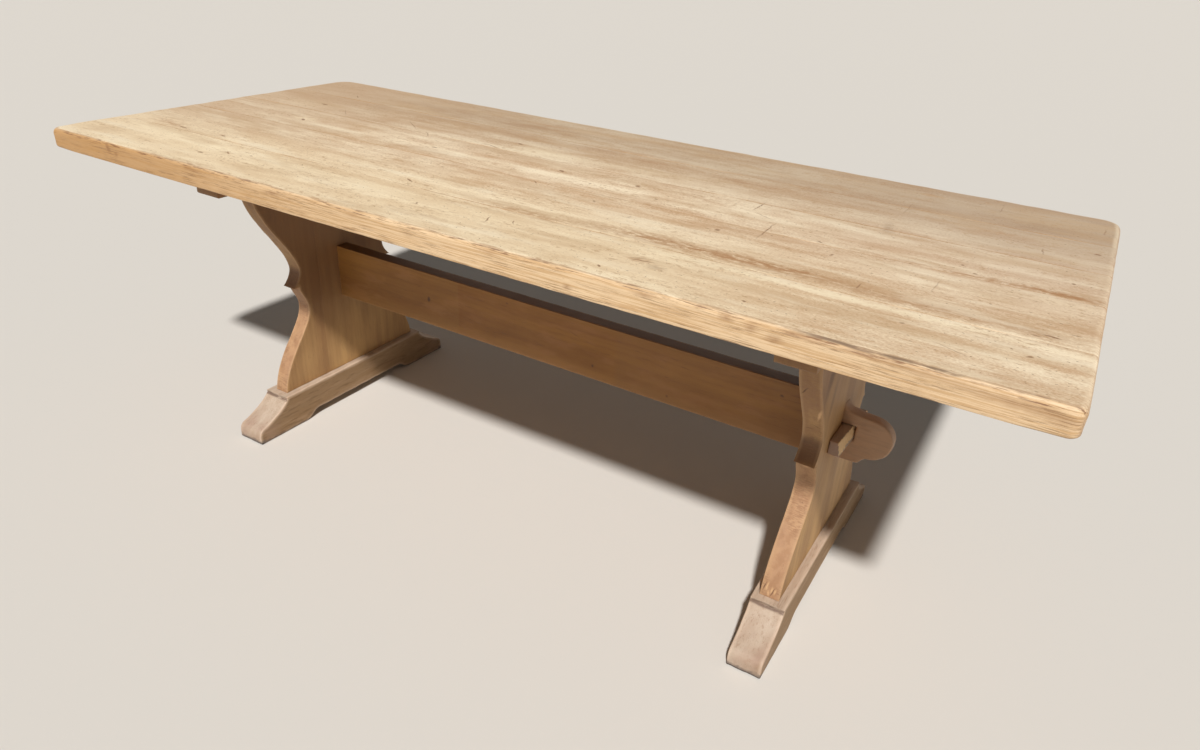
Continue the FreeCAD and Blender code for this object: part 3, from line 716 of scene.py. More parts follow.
# The split in the front arris: where it runs along X, and its place in from the side.
SPLIT = {"from": 742.0, "to": 916.0, "inset": 5.5, "half_width": 3.0, "depth": 1.6}
ARRIS_REACH = 11.0       # the widest that the top's worn arris gets
SEAM_WIDTH = 0.9         # half width of the groove at a glued joint
TIP_REACH = 75.0         # how far from the top's corners the arrises are worn rounder
TIP_WEAR = 5.0           # and how much that adds to their radius
SIDE_ZONE = 40.0         # dents in the sides go towards points this far in
SCRUBBED_DEEP = 0.6      # how far scrubbing has hollowed the top between its sides
SCRUBBED_EDGE = 60.0     # and how far from a side it does so fully
TOP_STEP = {"front": 6.0}    # spacing of points along a board, where it isn't CELL
WALL_ROWS = 5            # rows of faces up a board's side


def corner_radius(board, front):
    """Plan radius of a top board's corners on the front or the back."""
    low, high = box_mm(board)
    loop = section(board, Z, (low[2] + high[2]) / 2)[0]
    along = loop[np.abs(loop[:, 1] - (low[1] if front else high[1])) < 0.01]
    return high[0] - along[:, 0].max()


def rim_lines(free, corner):
    """Distances from a board's side at which it has rows of points, close together on the arris."""
    if not free:
        return np.array([0, 0.4 * SEAM_WIDTH, SEAM_WIDTH, 4.0])
    arris = ARRIS_REACH * (1 - np.cos(np.linspace(0, math.pi / 2, 7)))
    count = max(3, round((corner - ARRIS_REACH) / 4) + 1)
    return np.concatenate([arris, np.linspace(ARRIS_REACH, max(corner, ARRIS_REACH + 5), count)[1:]])


def stations(size, start, end, step):
    """Where a board has rows of points, from 0 to size."""
    count = max(2, round((size - start[-1] - end[-1]) / step)) + 1
    inner = np.linspace(start[-1], size - end[-1], count)
    return np.concatenate([start, inner[1:-1], size - end[::-1]])


def round_corner(a, b, radius):
    """Bends the square corner of a grid, at distances a and b from its two sides, to a round one."""
    offset = np.minimum(a, b)
    arc = np.maximum(radius - offset, 1e-9)
    angle = np.radians(45 * (1 - (np.maximum(a, b) - offset) / arc))
    near, far = radius - arc * np.cos(angle), radius - arc * np.sin(angle)
    zone = (a < radius) & (b < radius)
    return (np.where(zone, np.where(a <= b, near, far), a),
            np.where(zone, np.where(a <= b, far, near), b))


def arris_drop(gap_in, radius):
    """How far a rounded arris lies below the face, at a gap from the side."""
    reach = np.clip(radius - gap_in, 0, None)
    return radius - np.sqrt(np.maximum(radius ** 2 - reach ** 2, 0))


def top_board(board, wear, seed):
    """The mesh of one board of the top, with worn arrises where it is free and fine grooves where it is
    glued."""
    node = "top_board_" + board
    low, high = box_mm(node)
    size = high - low
    free = (board == TOP_BOARDS[0], board == TOP_BOARDS[-1])
    corner = corner_radius(node, free[0]) if any(free) else 0.0
    ends = rim_lines(True, corner)
    xs = stations(size[0], ends, ends, TOP_STEP.get(board, CELL))
    ys = stations(size[1], rim_lines(free[0], corner), rim_lines(free[1], corner), CELL)
    from_left, from_front = np.meshgrid(xs, ys)
    end_gap = np.minimum(from_left, size[0] - from_left)
    x, y, free_gap, seam_gap = end_gap.copy(), from_front.copy(), end_gap.copy(), np.full_like(end_gap, 1e3)
    tip = np.zeros_like(x)
    for is_free, side_gap, back in ((free[0], from_front, False), (free[1], size[1] - from_front, True)):
        if is_free:
            x, side = round_corner(end_gap, side_gap, corner)
            y = size[1] - side if back else side
            free_gap = np.minimum(end_gap, side_gap)
            tip = np.clip(1 - np.maximum(end_gap, side_gap) / TIP_REACH, 0, 1)
        else:
            seam_gap = np.minimum(seam_gap, side_gap)
    x = low[0] + np.where(from_left < size[0] / 2, x, size[0] - x)
    y = low[1] + y
    plan = np.stack([x.ravel(), y.ravel(), 0 * x.ravel()], 1)

    def spread(size_mm, shift):
        """Smooth random values over the board."""
        return wander(plan, size_mm, seed + shift).reshape(x.shape)

    groove = wear.seam / MM * np.clip(1 - seam_gap / SEAM_WIDTH, 0, 1)
    upper = np.minimum(wear.top_upper_arris / MM * (0.75 + 0.5 * spread(80, 1)), ARRIS_REACH)
    lower = wear.top_lower_arris / MM * (0.8 + 0.4 * spread(60, 2))
    upper, lower = upper + TIP_WEAR * tip, lower + TIP_WEAR * tip
    scrubbed = SCRUBBED_DEEP * spread(170, 3) * np.clip(free_gap / SCRUBBED_EDGE, 0, 1)
    split = np.zeros_like(x)
    if board == TOP_BOARDS[0]:
        reach = np.clip(np.minimum(x - SPLIT["from"], SPLIT["to"] - x) / 30, 0, 1)
        beside = np.abs(free_gap - SPLIT["inset"]) / SPLIT["half_width"]
        split = SPLIT["depth"] * reach * np.clip(1 - beside, 0, 1)
    top = high[2] - arris_drop(free_gap, upper) - groove - scrubbed - split
    bottom = low[2] + arris_drop(free_gap, lower) + groove
    worn = np.clip(1 - (free_gap - 0.7 * upper) / WEAR_REACH, 0, 1)
    shell = Shell()
    shell.grid(np.stack([x, y, top], 2), worn)
    shell.grid(np.stack([x, y, bottom], 2), np.clip(1 - (free_gap - lower) / WEAR_REACH, 0, 1))

    def around(values):
        """The values on the rim of the grid, once round."""
        return np.concatenate([values[0], values[1:, -1], values[-1, -2::-1], values[-2:0:-1, 0]])

    # The sides. Their dents go straight in, or towards the middle where two sides meet.
    rim_x, rim_y, rim_top, rim_bottom = around(x), around(y), around(top), around(bottom)
    open_side = np.clip(1 - around(free_gap), 0, 1)
    rows, edge = [], []
    for share in np.linspace(0, 1, WALL_ROWS + 1):
        height = rim_bottom + (rim_top - rim_bottom) * share
        spot = np.stack([rim_x, rim_y, height], 1)
        dent = 0.5 * wander(spot, 60, seed + 4) * open_side * math.sin(math.pi * share)
        into = np.clip(spot[:, :2], low[:2] + SIDE_ZONE, high[:2] - SIDE_ZONE) - spot[:, :2]
        into /= np.maximum(np.linalg.norm(into, axis=1, keepdims=True), 1e-6)
        rows.append(spot + np.insert(into * dent[:, None], 2, 0, axis=1))
        near = np.minimum(height - rim_bottom, rim_top - height)
        edge.append(open_side * np.clip(1 - near / WEAR_REACH, 0, 1))
    shell.grid(rows, edge, closed=True)
    return shell.piece(node + "_wood")


def on_board(marks, low, high):
    """The marks of the top that reach a board between low and high, with their height."""
    found = []
    for x, y, long, wide, turn, strength in marks:
        reach = max(wide, long * abs(math.sin(math.radians(turn))))
        if low[1] - reach < y < high[1] + reach:
            found.append((x, y, high[2], long, wide, turn, strength))
    return found


# Each board of the top: the seed of its figure, its pith (y from the board's middle, z from the
# underside), ring width and how strongly its rings show.
TOP_FIGURE = {
    "front": (1, (-30, -85), 6.5, 0.066), "front_inner": (2, (40, -60), 7.5, 0.102),
    "middle": (3, (-20, -110), 7.0, 0.06), "back_inner": (4, (25, -75), 8.0, 0.078),
    "back": (5, (-35, 140), 6.5, 0.066),
}
# Where the whole top is browner or paler: colour, strength, and the spans over which it sets in.
TOP_ZONES = (
    ("#c7ae96", 0.45, (X, 150, 1000), (Y, -330, 100)),
    ("#866a4f", 0.5, (Y, -40, 330)),
    ("#cbab8a", 0.35, (X, -640, -980)),
    ("#bfa07e", 0.5, (X, -350, -800), (Y, -300, -100)),
    ("#fbe6bd", 0.45, (Y, -60, -330), (X, 900, 300)),
)
# The marks of the top: colour, strength, spread and depth.
TOP_MARKS = (
    (PALES, "#f6e3c0", 0.8, 30, 0), (STAINS, "#a87b50", 1.0, 26, 0), (SMUDGES, "#94785c", 0.62, 22, 0),
    (DENTS, "#7c522f", 0.85, 5, 2.0), (CRACKS, "#80593a", 0.75, 7, 2.0),
)


def top_oak(board, colours):
    """Stripped and scrubbed oak: pale and matt on top, browner where it was less washed, with raised
    soft streaks, small dents and old stains."""
    low, high = box_mm("top_board_" + board)
    seed, (aside, below), ring_width, rings = TOP_FIGURE[board]
    pith = (0, (low[1] + high[1]) / 2 + aside, low[2] + below)
    oak = Oak(f"Scrubbed oak, {board.replace('_', ' ')} board", X, seed, pith, colours.top_light,
              colours.top_dark, rings=rings, ring_width=ring_width, layers=SCRUBBED)
    up = oak.facing(UP, 0.5, 0.9)
    oak.tint("#dcc09f", 0.4, oak.patchy((150, 60, 60), 3, 0.6, 3.1, 0.42, 0.72))
    for code, strength, *spans in TOP_ZONES:
        oak.tint(code, strength, *[oak.span(*span) for span in spans])
    oak.pores("#a88158", 0.3)
    granular = oak.patchy((24, 8, 8), 4, 0.7, 7.7, 0.32, 0.56)
    for marks, code, strength, spread, depth in TOP_MARKS:
        found = on_board(marks, low, high)
        if found:
            grain = [granular] if marks is STAINS else []
            oak.tint(code, strength, oak.marks(found, spread), up, *grain, depth=depth)
    # Flecks in drifts, brown blotches, bleached streaks towards the front, and small dark nicks.
    oak.tint("#ab8459", 0.55, oak.patchy((18, 8, 8), 3, 0.66, 1.3, 0.52, 0.66),
             oak.patchy((170, 40, 40), 2, 0.5, 6.4, 0.42, 0.6))
    oak.tint("#bb9970", 0.38, oak.patchy((280, 56, 56), 4, 0.66, 8.6, 0.47, 0.66))
    oak.tint("#f6e6c8", 0.45, oak.patchy((220, 36, 36), 4, 0.64, 4.9, 0.5, 0.7), oak.span(Y, 230, -60))
    oak.tint("#7d5837", 0.7, oak.patchy((7, 4, 4), 1, 0.5, 2.6, 0.685, 0.75))
    edge_of_top(oak, board, low, colours)
    # End grain, the underside, the broken front arris and the paler wood of worn arrises.
    ends = oak.facing(RIGHT, 0.62, 0.95, either=True)
    oak.tint("#c6a27c", 0.7, ends)
    oak.tint("#7f5b3c", 0.6, ends, oak.patchy((40, 2.2, 2.2), 2, 0.6, 4.4, 0.55, 0.7))
    oak.tint(colours.top_under, 0.8, oak.facing(DOWN))
    oak.tint("#7a5030", 0.9, oak.carried("edge", 0.75, 1.0),
             oak.patchy((42, 3.5, 3.5), 3, 0.65, 9.3, 0.5, 0.66), oak.facing(FRONT, 0.05, 0.4),
             oak.facing(UP, 0.05, 0.4), depth=2.5)
    oak.tint("#f3e2c4", 0.4 if board == TOP_BOARDS[-1] else 0.12, oak.carried("edge", 0.2, 1.0), up)
    return oak.finish(roughness=0.58, bump=0.38)


def edge_of_top(oak, board, low, colours):
    """The top's long edges: less bleached, finely lined along the grain, darkest at the left, with a brown
    line under the upper arris. The front board also has stains, and dirt in its split."""
    sides = oak.facing(FRONT, 0.3, 0.6, either=True)
    oak.tint(colours.top_edge, 0.85, sides)
    oak.tint("#94683e", 0.6, oak.facing(FRONT, 0.08, 0.22), oak.facing(FRONT, 0.62, 0.4),
             oak.patchy((60, 8, 8), 4, 0.65, 6.6, 0.36, 0.56))
    oak.tint("#b5864f", 0.8, sides, oak.span(X, 100, -900))
    oak.tint("#b8894f", 0.55, sides, oak.patchy((150, 30, 2.2), 4, 0.72, 5.2, 0.45, 0.6))
    oak.tint("#7f5733", 0.65, sides, oak.patchy((48, 30, 1.5), 4, 0.68, 2.2, 0.5, 0.63),
             oak.patchy((90, 30, 14), 2, 0.6, 0.7, 0.36, 0.6), depth=1.0)
    if board != TOP_BOARDS[0]:
        return
    found = [(x, low[1], z, *rest) for x, z, *rest in EDGE_STAINS]
    oak.tint("#8a5a33", 0.6, oak.marks(found, 8, across=Y), oak.facing(FRONT, 0.1, 0.5))
    crease = low[1] + SPLIT["inset"]
    oak.tint("#5f3d1f", 0.9, oak.span(X, SPLIT["from"] - 60, SPLIT["from"]),
             oak.span(X, SPLIT["to"] + 12, SPLIT["to"] - 12), oak.span(Y, crease - 4.5, crease - 1.8),
             oak.span(Y, crease + 3.2, crease + 1.0), oak.patchy((50, 9, 9), 3, 0.6, 3.7, 0.3, 0.48))


class TrestleOperator(bpy.types.Operator):
    """What the operators share."""
    bl_options = {"REGISTER", "UNDO"}


class TRESTLE_OT_top_boards(TrestleOperator):
    """Make the five boards of the top"""
    bl_idname = "trestle.top_boards"
    bl_label = "Top boards"

    def execute(self, context):
        scene = context.scene
        for number, board in enumerate(TOP_BOARDS):
            piece = top_board(board, scene.trestle_wear, 10 * (number + 1))
            finish_piece(piece, TABLE, "top_oak", top_oak(board, scene.trestle_colours), "top_board_" + board)
        return {"FINISHED"}


# --- Uprights and head rails ----------------------------------------------------------------------

BESIDE_TENON = 15.0        # off the middle of an upright, where a section misses its stub tenons
END_ARRIS = 1.0            # radius of an upright's arris where it meets the foot and the head rail
TOOTH_SHADE = ((362, 372), (420, 402))      # heights over which the painted shade on the tooth sets in and ends
BROKEN_DEGREES = 40        # edges of a head rail that turn by more than this are broken
# Marks on the front edge of the right-hand upright: (x, y, z, half length, half width, turn, strength).
SCRAPES = (
    (697, -179, 481, 26, 3.5, -77, 1.6), (684, -160, 352, 11, 3, 8, 1.5), (686, -232, 112, 9, 3, -80, 1.5),
    (676, -234, 118, 12, 2.5, -84, 1.5), (693, -232, 110, 9, 3, -75, 1.4), (680, -236, 104, 8, 3, 88, 1.2),
)
SCORES = (
    (674, -221, 544, 16, 1.8, -58, 1.4), (690, -150, 446, 12, 1.6, 12, 0.9),
    (678, -151, 436, 10, 1.5, -8, 0.9), (688, -236, 108, 15, 1.6, -70, 1.2),
    (671, -233, 116, 13, 1.5, -80, 1.2),
)
# A painted shadow high on its outer face: a darker brown patch.
PAINTED_SHADOW_PATCHES = ((704, -163, 575, 80, 24, 68, 1.4), (704, -128, 500, 60, 16, 80, 0.8))


def underframe_oak(name, seed, grain, pith, colours, inner):
    """Stripped oak of the uprights and head rails: mid brown with soft bands along the grain, darker high up
    and on the inner face, which is painted shade under the top. Where the saw and the rasp have crossed it,
    it is
    drier and pinker low down: partly the sawn wood's own colour, partly painted light where the lamp reaches
    below the top's shadow."""
    oak = Oak(name, grain, seed, pith, colours.upright_light, colours.upright_dark, contrast=1.3,
              ring_width=9.0, ring_bend=26)
    oak.pores("#7d5836", 0.25)
    cut = oak.facing(FRONT, either=True)
    # Sawn edges paler and pinker low down: partly the sawn wood's own colour, partly painted light where the
    # lamp reaches below the top's shadow.
    oak.tint("#b68d70", 0.6, cut, oak.span(Z, 460, 300))
    oak.tint("#9c7250", 0.5, cut, oak.patchy((30, 20, 20), 3, 0.6, 7.1, 0.44, 0.62))
    # Painted shade under the top: darker on the inner face, and darker upwards over the whole piece.
    oak.tint("#5c3c1f", 0.62, oak.facing(inner), oak.span(Z, 120, 420))
    oak.tint("#76512f", 0.55, oak.span(Z, 150, 600))
    # Painted shade on the tooth below the neck, the rasp's scratches, specks, and paler worn arrises.
    oak.tint("#5f3f2a", 0.7, cut, *[oak.span(Z, *heights) for heights in TOOTH_SHADE])
    oak.tint("#8a6244", 0.5, cut, oak.patchy((13, 40, 2.0), 3, 0.65, 6.1, 0.47, 0.6, grain=False),
             oak.patchy((60, 60, 80), 2, 0.5, 8.3, 0.42, 0.58, grain=False), depth=1.6)
    oak.tint("#5f4128", 0.6, oak.patchy((10, 3, 3), 1, 0.5, 1.3, 0.73, 0.8))
    oak.tint("#c9a47a", 0.3, oak.carried("edge", 0.4, 1.0))
    return oak


class TRESTLE_OT_uprights(TrestleOperator):
    """Make the boards of the two uprights, with their sawn outline and the mortise for the stretcher"""
    bl_idname = "trestle.uprights"
    bl_label = "Uprights"

    def execute(self, context):
        wear, colours = context.scene.trestle_wear, context.scene.trestle_colours
        # inner: the face turned to the table's middle, which underframe_oak darkens with painted shade.
        for side, seed, inner in (("left", 11, RIGHT), ("right", 31, LEFT)):
            seam = box_mm(f"upright_{side}_centre")[1][1]
            bottom, top = box_mm("foot_" + side)[1][2], box_mm("head_rail_" + side)[0][2]

            def radii(points):
                found = worn_arris(wear.upright_arris / MM, seed)(points)
                found[np.abs(np.abs(points[:, 0]) - seam) < 0.3] = SHARP_ARRIS
                found[(points[:, 1] < bottom + 0.3) | (points[:, 1] > top - 0.3)] = END_ARRIS
                return found

            for board in UPRIGHT_BOARDS:
                node = f"upright_{side}_{board}"
                low, high = box_mm(node)
                middle = (low[0] + high[0]) / 2
                loops = section(node, X, middle + BESIDE_TENON)
                loops = [even(loop, hole=i > 0) for i, loop in enumerate(loops)]
                shell = plank(Shell(), loops, X, level(low[0]), level(high[0]), radii, rough=0.9, hollow=0.5,
                              seed=seed)
                oak = underframe_oak(f"Stripped oak, {side} upright {board}", seed, Z, (middle - 70, -24, 0),
                                     colours, inner)
                if (side, board) == ("right", "front"):
                    self.scrape_and_paint_shadow(oak)
                finish_piece(shell.piece(node + "_wood"), TABLE, "underframe_oak",
                             oak.finish(0.62, 0.5), node)
        return {"FINISHED"}

    def scrape_and_paint_shadow(self, oak):
        """Bare splintered wood and dark scores where something has knocked the edge, and a painted shadow on
        the outer face.
        """
        edge = oak.facing(FRONT, 0.3, 0.6)
        # Painted shadow of the top on the outer face.
        oak.tint("#64452a", 0.75, oak.marks(PAINTED_SHADOW_PATCHES, 14, across=X), oak.facing(RIGHT))
        oak.tint("#5a3c25", 0.85, oak.marks(SCORES, 4, across=Y), edge, depth=2.0)
        oak.tint("#dfb586", 0.6, oak.marks(SCRAPES, 5, across=Y), edge)


class TRESTLE_OT_head_rails(TrestleOperator):
    """Break the sharp edges of the two head rails under the top"""
    bl_idname = "trestle.head_rails"
    bl_label = "Head rails"

    def execute(self, context):
        wear, colours = context.scene.trestle_wear, context.scene.trestle_colours
        for side, seed in zip(SIDES, (41, 42)):
            node = "head_rail_" + side
            low, high = box_mm(node)
            work = welded(node)
            bmesh.ops.dissolve_limit(work, angle_limit=math.radians(1), verts=work.verts, edges=work.edges)
            sharp = [e for e in work.edges
                     if e.is_manifold and e.is_convex
                     and e.calc_face_angle(0) > math.radians(BROKEN_DEGREES)]
            bmesh.ops.bevel(work, geom=sharp, offset=wear.rail_arris, segments=3, profile=0.5,
                            affect="EDGES", clamp_overlap=True)
            bmesh.ops.triangulate(work, faces=work.faces)
            piece = tidied(ordered(work), node + "_wood")
            # For a head rail the painted shade of an inner face goes on its underside.
            oak = underframe_oak(f"Stripped oak, {side} head rail", seed, Y,
                                 ((low[0] + high[0]) / 2 + 15, 0, low[2] - 80), colours, DOWN)
            finish_piece(piece, TABLE, "underframe_oak", oak.finish(0.62, 0.5), node)
        return {"FINISHED"}


# --- Feet -----------------------------------------------------------------------------------------

BESIDE_MORTISE = 25.0      # off the middle of a foot, where a section misses its mortises
TOE_PLANED = 4.0           # the toe's full width is measured this far from its end
DIRT_WAVE = 16.0           # how far the upper line of the floor dirt strays


def width_at(node, y, z=30.0):
    """Lowest and highest x of a node at y and z, in millimetres."""
    far = 10.0
    return [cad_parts[node].ray_cast((start, y * MM, z * MM), (way, 0, 0), distance=2 * far)[1].x / MM
            for start, way in ((-far, 1), (far, -1))]


class TRESTLE_OT_feet(TrestleOperator):
    """Make the two feet, with their shaped toes and the relief below"""
    bl_idname = "trestle.feet"
    bl_label = "Feet"

    def execute(self, context):
        wear, colours = context.scene.trestle_wear, context.scene.trestle_colours
        for side, seed in zip(SIDES, (31, 32)):
            node = "foot_" + side
            low, high = box_mm(node)
            middle = (low[0] + high[0]) / 2
            outline = section(node, X, middle + BESIDE_MORTISE)[0]
            stops = [low[1] + TOE_PLANED, 0.0, high[1] - TOE_PLANED]
            widths = np.array([width_at(node, y) for y in stops])
            faces = [lambda points, at=widths[:, i]: np.interp(points[:, 0], stops, at) for i in (0, 1)]
            shell = plank(Shell(), [even(outline)], X, *faces, worn_arris(wear.foot_arris / MM, seed),
                          rough=1.0, hollow=0.8, seed=seed)
            oak = Oak(f"Scuffed oak, {side} foot", Y, seed, (middle + 20, 0, -60), colours.foot_light,
                      colours.foot_dark, rings=0.05, ring_width=8.0, ring_bend=24)
            shelf = outline[outline[:, 1] > high[2] - 0.5, 0].max()
            self.scuff_and_shade(oak, high[1], high[2], shelf)
            finish_piece(shell.piece(node + "_wood"), TABLE, "foot_oak", oak.finish(0.66, 0.5), node)
        return {"FINISHED"}

    def scuff_and_shade(self, oak, toe, top, shelf):
        """Painted shade on the sides, floor dirt on the lowest part, grey wash on the toes, bare scuffs on
        the arrises, a painted shadow over dirt under each toe's end and painted shade in the crease below the
        shelf. The toes end at toe, and the shelf, which is as high as top, ends at shelf."""
        oak.pores("#7f5b40", 0.4)
        sides = oak.facing(RIGHT, either=True)
        # Painted shade: the sides are darker than the lit top.
        oak.tint("#8c6b42", 0.85, sides)
        oak.tint("#ad8d6c", 0.5, sides, oak.patchy((110, 16, 16), 4, 0.65, 6.1, 0.48, 0.68))
        oak.tint("#6b4c2c", 0.45, sides, oak.patchy((50, 6, 6), 3, 0.65, 7.9, 0.52, 0.66))
        out = oak.out(Y)
        oak.tint("#ab8c7a", 0.55, oak.between(out, toe - 84, toe + 4),
                 oak.patchy((60, 30, 30), 3, 0.6, 3.3, 0.35, 0.65))
        oak.tint("#9a7861", 0.45, oak.patchy((50, 5, 5), 3, 0.6, 5.5, 0.56, 0.66), oak.facing(UP, 0.2, 0.7))
        oak.tint("#d9bfa6", 0.4, oak.carried("edge", 0.3, 1.0))
        height = oak.node("ShaderNodeMath", {0: oak.noise((22, 9, 9), 2, 0.6, 2.2), 1: DIRT_WAVE,
                                             2: oak.parts[Z]}, operation="MULTIPLY_ADD")
        oak.tint("#5a4638", 0.8, oak.between(height, 17, 8))
        oak.tint("#6a5e57", 0.7, oak.between(out, toe - 20, toe - 8), oak.between(height, 22, 15))
        # Painted shadow of the gap under the toe's end, over dirt.
        oak.tint("#241f1b", 0.95, oak.between(out, toe - 10, toe - 4), oak.span(Z, 5.6, 3.6))
        # Painted shade in the crease below the shelf's edge.
        oak.tint("#5f4536", 0.8, oak.between(out, shelf - 1.5, shelf - 0.2),
                 oak.between(out, shelf + 4.5, shelf + 1.5), oak.between(sides, 0.7, 0.2),
                 oak.span(Z, top - 0.5, top - 4), oak.patchy((12, 30, 12), 2, 0.6, 1.9, 0.3, 0.5))


# --- Stretcher and wedges -------------------------------------------------------------------------

TENON_ROOT = 14.0          # how far a tenon's mesh starts inside the rail
TENON_STEP = 3.0           # spacing of mesh points along a tenon's outline
TENON_CELL = 6.0           # and on its flat wood
NOSE_CUT = 20.0            # a section this far from the stretcher's end shows a tenon's thickness
NOSE_BARE = (30.0, 50.0)   # the handled wood of a nose sets in this far beyond the shoulder
# Soft steps in the rail's tone: colour, strength and where along X they set in.
TONE_STEPS = (("#b28a52", 0.12, -243, -249), ("#85603a", 0.2, 190, 208))
# Knots and nicks: (x, y, z, half length, half width, turn, strength).
STRETCHER_KNOTS = (
    (-341, -19, 371, 6, 9, 0, 1.9), (140, -19, 336, 4, 5, 0, 1.2), (580, -19, 407, 6, 4, 0, 1.2),
    (-100, -19, 425, 5, 3, 0, 0.8), (330, -19, 322, 4, 4, 0, 0.9), (90, -19, 399, 22, 1.5, 20, 0.6),
    (770, -14, 345, 12, 2, 16, 1.6), (785, -14, 360, 5, 4, 0, 0.8),
)
WEDGE_STEP = 2.5           # spacing of a wedge's mesh points
# The chip's plane: its normal, its distance from the wedge's inner side and how far it strays.
CHIP = {"normal": (1.0, -0.073, 0.19), "from": 17.0, "rough": 1.6}


def united(pieces, name):
    """One closed mesh of several solids that overlap."""
    base = pieces[0]
    for other in pieces[1:]:
        join = base.modifiers.new("Join", "BOOLEAN")
        join.operation, join.solver, join.object = "UNION", "EXACT", other
    mesh = evaluated(base)
    for piece in pieces:
        bpy.data.objects.remove(piece)
    return tidied(mesh, name, merge=0.005)


def tenon_loops(whole, shoulder, way):
    """From the stretcher's section, the outline of the tenon beyond a shoulder and the wedge's slot in it."""
    outline = whole[0] if area(whole[0]) > 0 else whole[0][::-1]
    beyond = way * (outline[:, 0] - shoulder) > 0.01
    start = np.flatnonzero(beyond & ~np.roll(beyond, 1))[0]
    outline = np.roll(outline, -start, 0)[:beyond.sum()]
    (_, first), (_, last) = outline[0], outline[-1]
    root = shoulder - way * TENON_ROOT
    loop = np.vstack([[root, first], [shoulder, first], outline, [shoulder, last], [root, last]])
    slots = [hole for hole in whole[1:] if way * hole[:, 0].mean() > 0]
    return [even(loop, TENON_STEP), *[even(hole, TENON_STEP, hole=True) for hole in slots]]


class TRESTLE_OT_stretcher(TrestleOperator):
    """Make the stretcher with its two round-nosed tenons and their wedge slots"""
    bl_idname = "trestle.stretcher"
    bl_label = "Stretcher"

    def execute(self, context):
        wear, colours = context.scene.trestle_wear, context.scene.trestle_colours
        low, high = box_mm("stretcher")
        # Cut through the middle, then where only the rail is, then across a tenon.
        whole = section("stretcher", Y, 0.1)
        rail = section("stretcher", Y, high[1] - 1.0)[0]
        nose = section("stretcher", X, low[0] + NOSE_CUT)[0]
        shell = plank(Shell(), [even(rail)], Y, level(low[1]), level(high[1]),
                      worn_arris(wear.stretcher_arris / MM, 51), rough=0.4, hollow=0.5, seed=51)
        pieces = [shell.piece("rail")]
        for way, shoulder in ((-1, rail[:, 0].min()), (1, rail[:, 0].max())):
            shell = plank(Shell(), tenon_loops(whole, shoulder, way), Y, level(nose[:, 0].min()),
                          level(nose[:, 0].max()), worn_arris(wear.tenon_arris / MM, 52 + way), rough=0.8,
                          hollow=0.4, seed=53 + way, cell=TENON_CELL)
            pieces.append(shell.piece("tenon"))
        oak = Oak("Stripped oak, stretcher", X, 6, (0, -60, 330), colours.stretcher_light,
                  colours.stretcher_dark, ring_width=10.0, ring_bend=40)
        self.age_with_painted_light_and_shade(oak, low[2], rail[:, 0].max())
        finish_piece(united(pieces, "stretcher_wood"), TABLE, "stretcher_oak",
                     oak.finish(0.58, 0.45), "stretcher")
        return {"FINISHED"}

    def age_with_painted_light_and_shade(self, oak, bottom, shoulder):
        """Mottling, soft steps of tone, small knots, painted shade on the top face, and bare wood on the
        handled noses, whose upper side and worn edges are lightened with painted light.
        """
        oak.tint("#a87344", 0.4, oak.patchy((120, 34, 34), 3, 0.6, 4.4, 0.5, 0.68))
        oak.tint("#b98950", 0.35, oak.span(Z, bottom + 34, bottom))
        for code, strength, *reach in TONE_STEPS:
            oak.tint(code, strength, oak.span(X, *reach))
        oak.pores("#5d3f22", 0.35)
        # Painted shade: the top face, under the table's top, is darkened.
        oak.tint("#3d2613", 0.8, oak.facing(UP, 0.5, 0.9))
        oak.tint("#4a2f1b", 0.85, oak.marks(STRETCHER_KNOTS, 5, across=Y), depth=1.5)
        nose = oak.between(oak.out(X), *[shoulder + reach for reach in NOSE_BARE])
        worn = oak.carried("edge", 0.5, 1.0)
        oak.tint("#a2785a", 0.75, nose)
        oak.tint("#74503a", 0.7, nose, oak.patchy((50, 4.5, 4.5), 4, 0.68, 8.8, 0.46, 0.6))
        # The noses' worn edges are paler, partly from wear and partly as painted light, and their upper side
        # is lightened with painted light.
        oak.tint("#c2a48b", 0.5, nose, worn)
        oak.tint("#b79d89", 0.5, nose, oak.facing(UP, 0.2, 0.8))
        oak.tint("#b98f60", 0.25, worn)


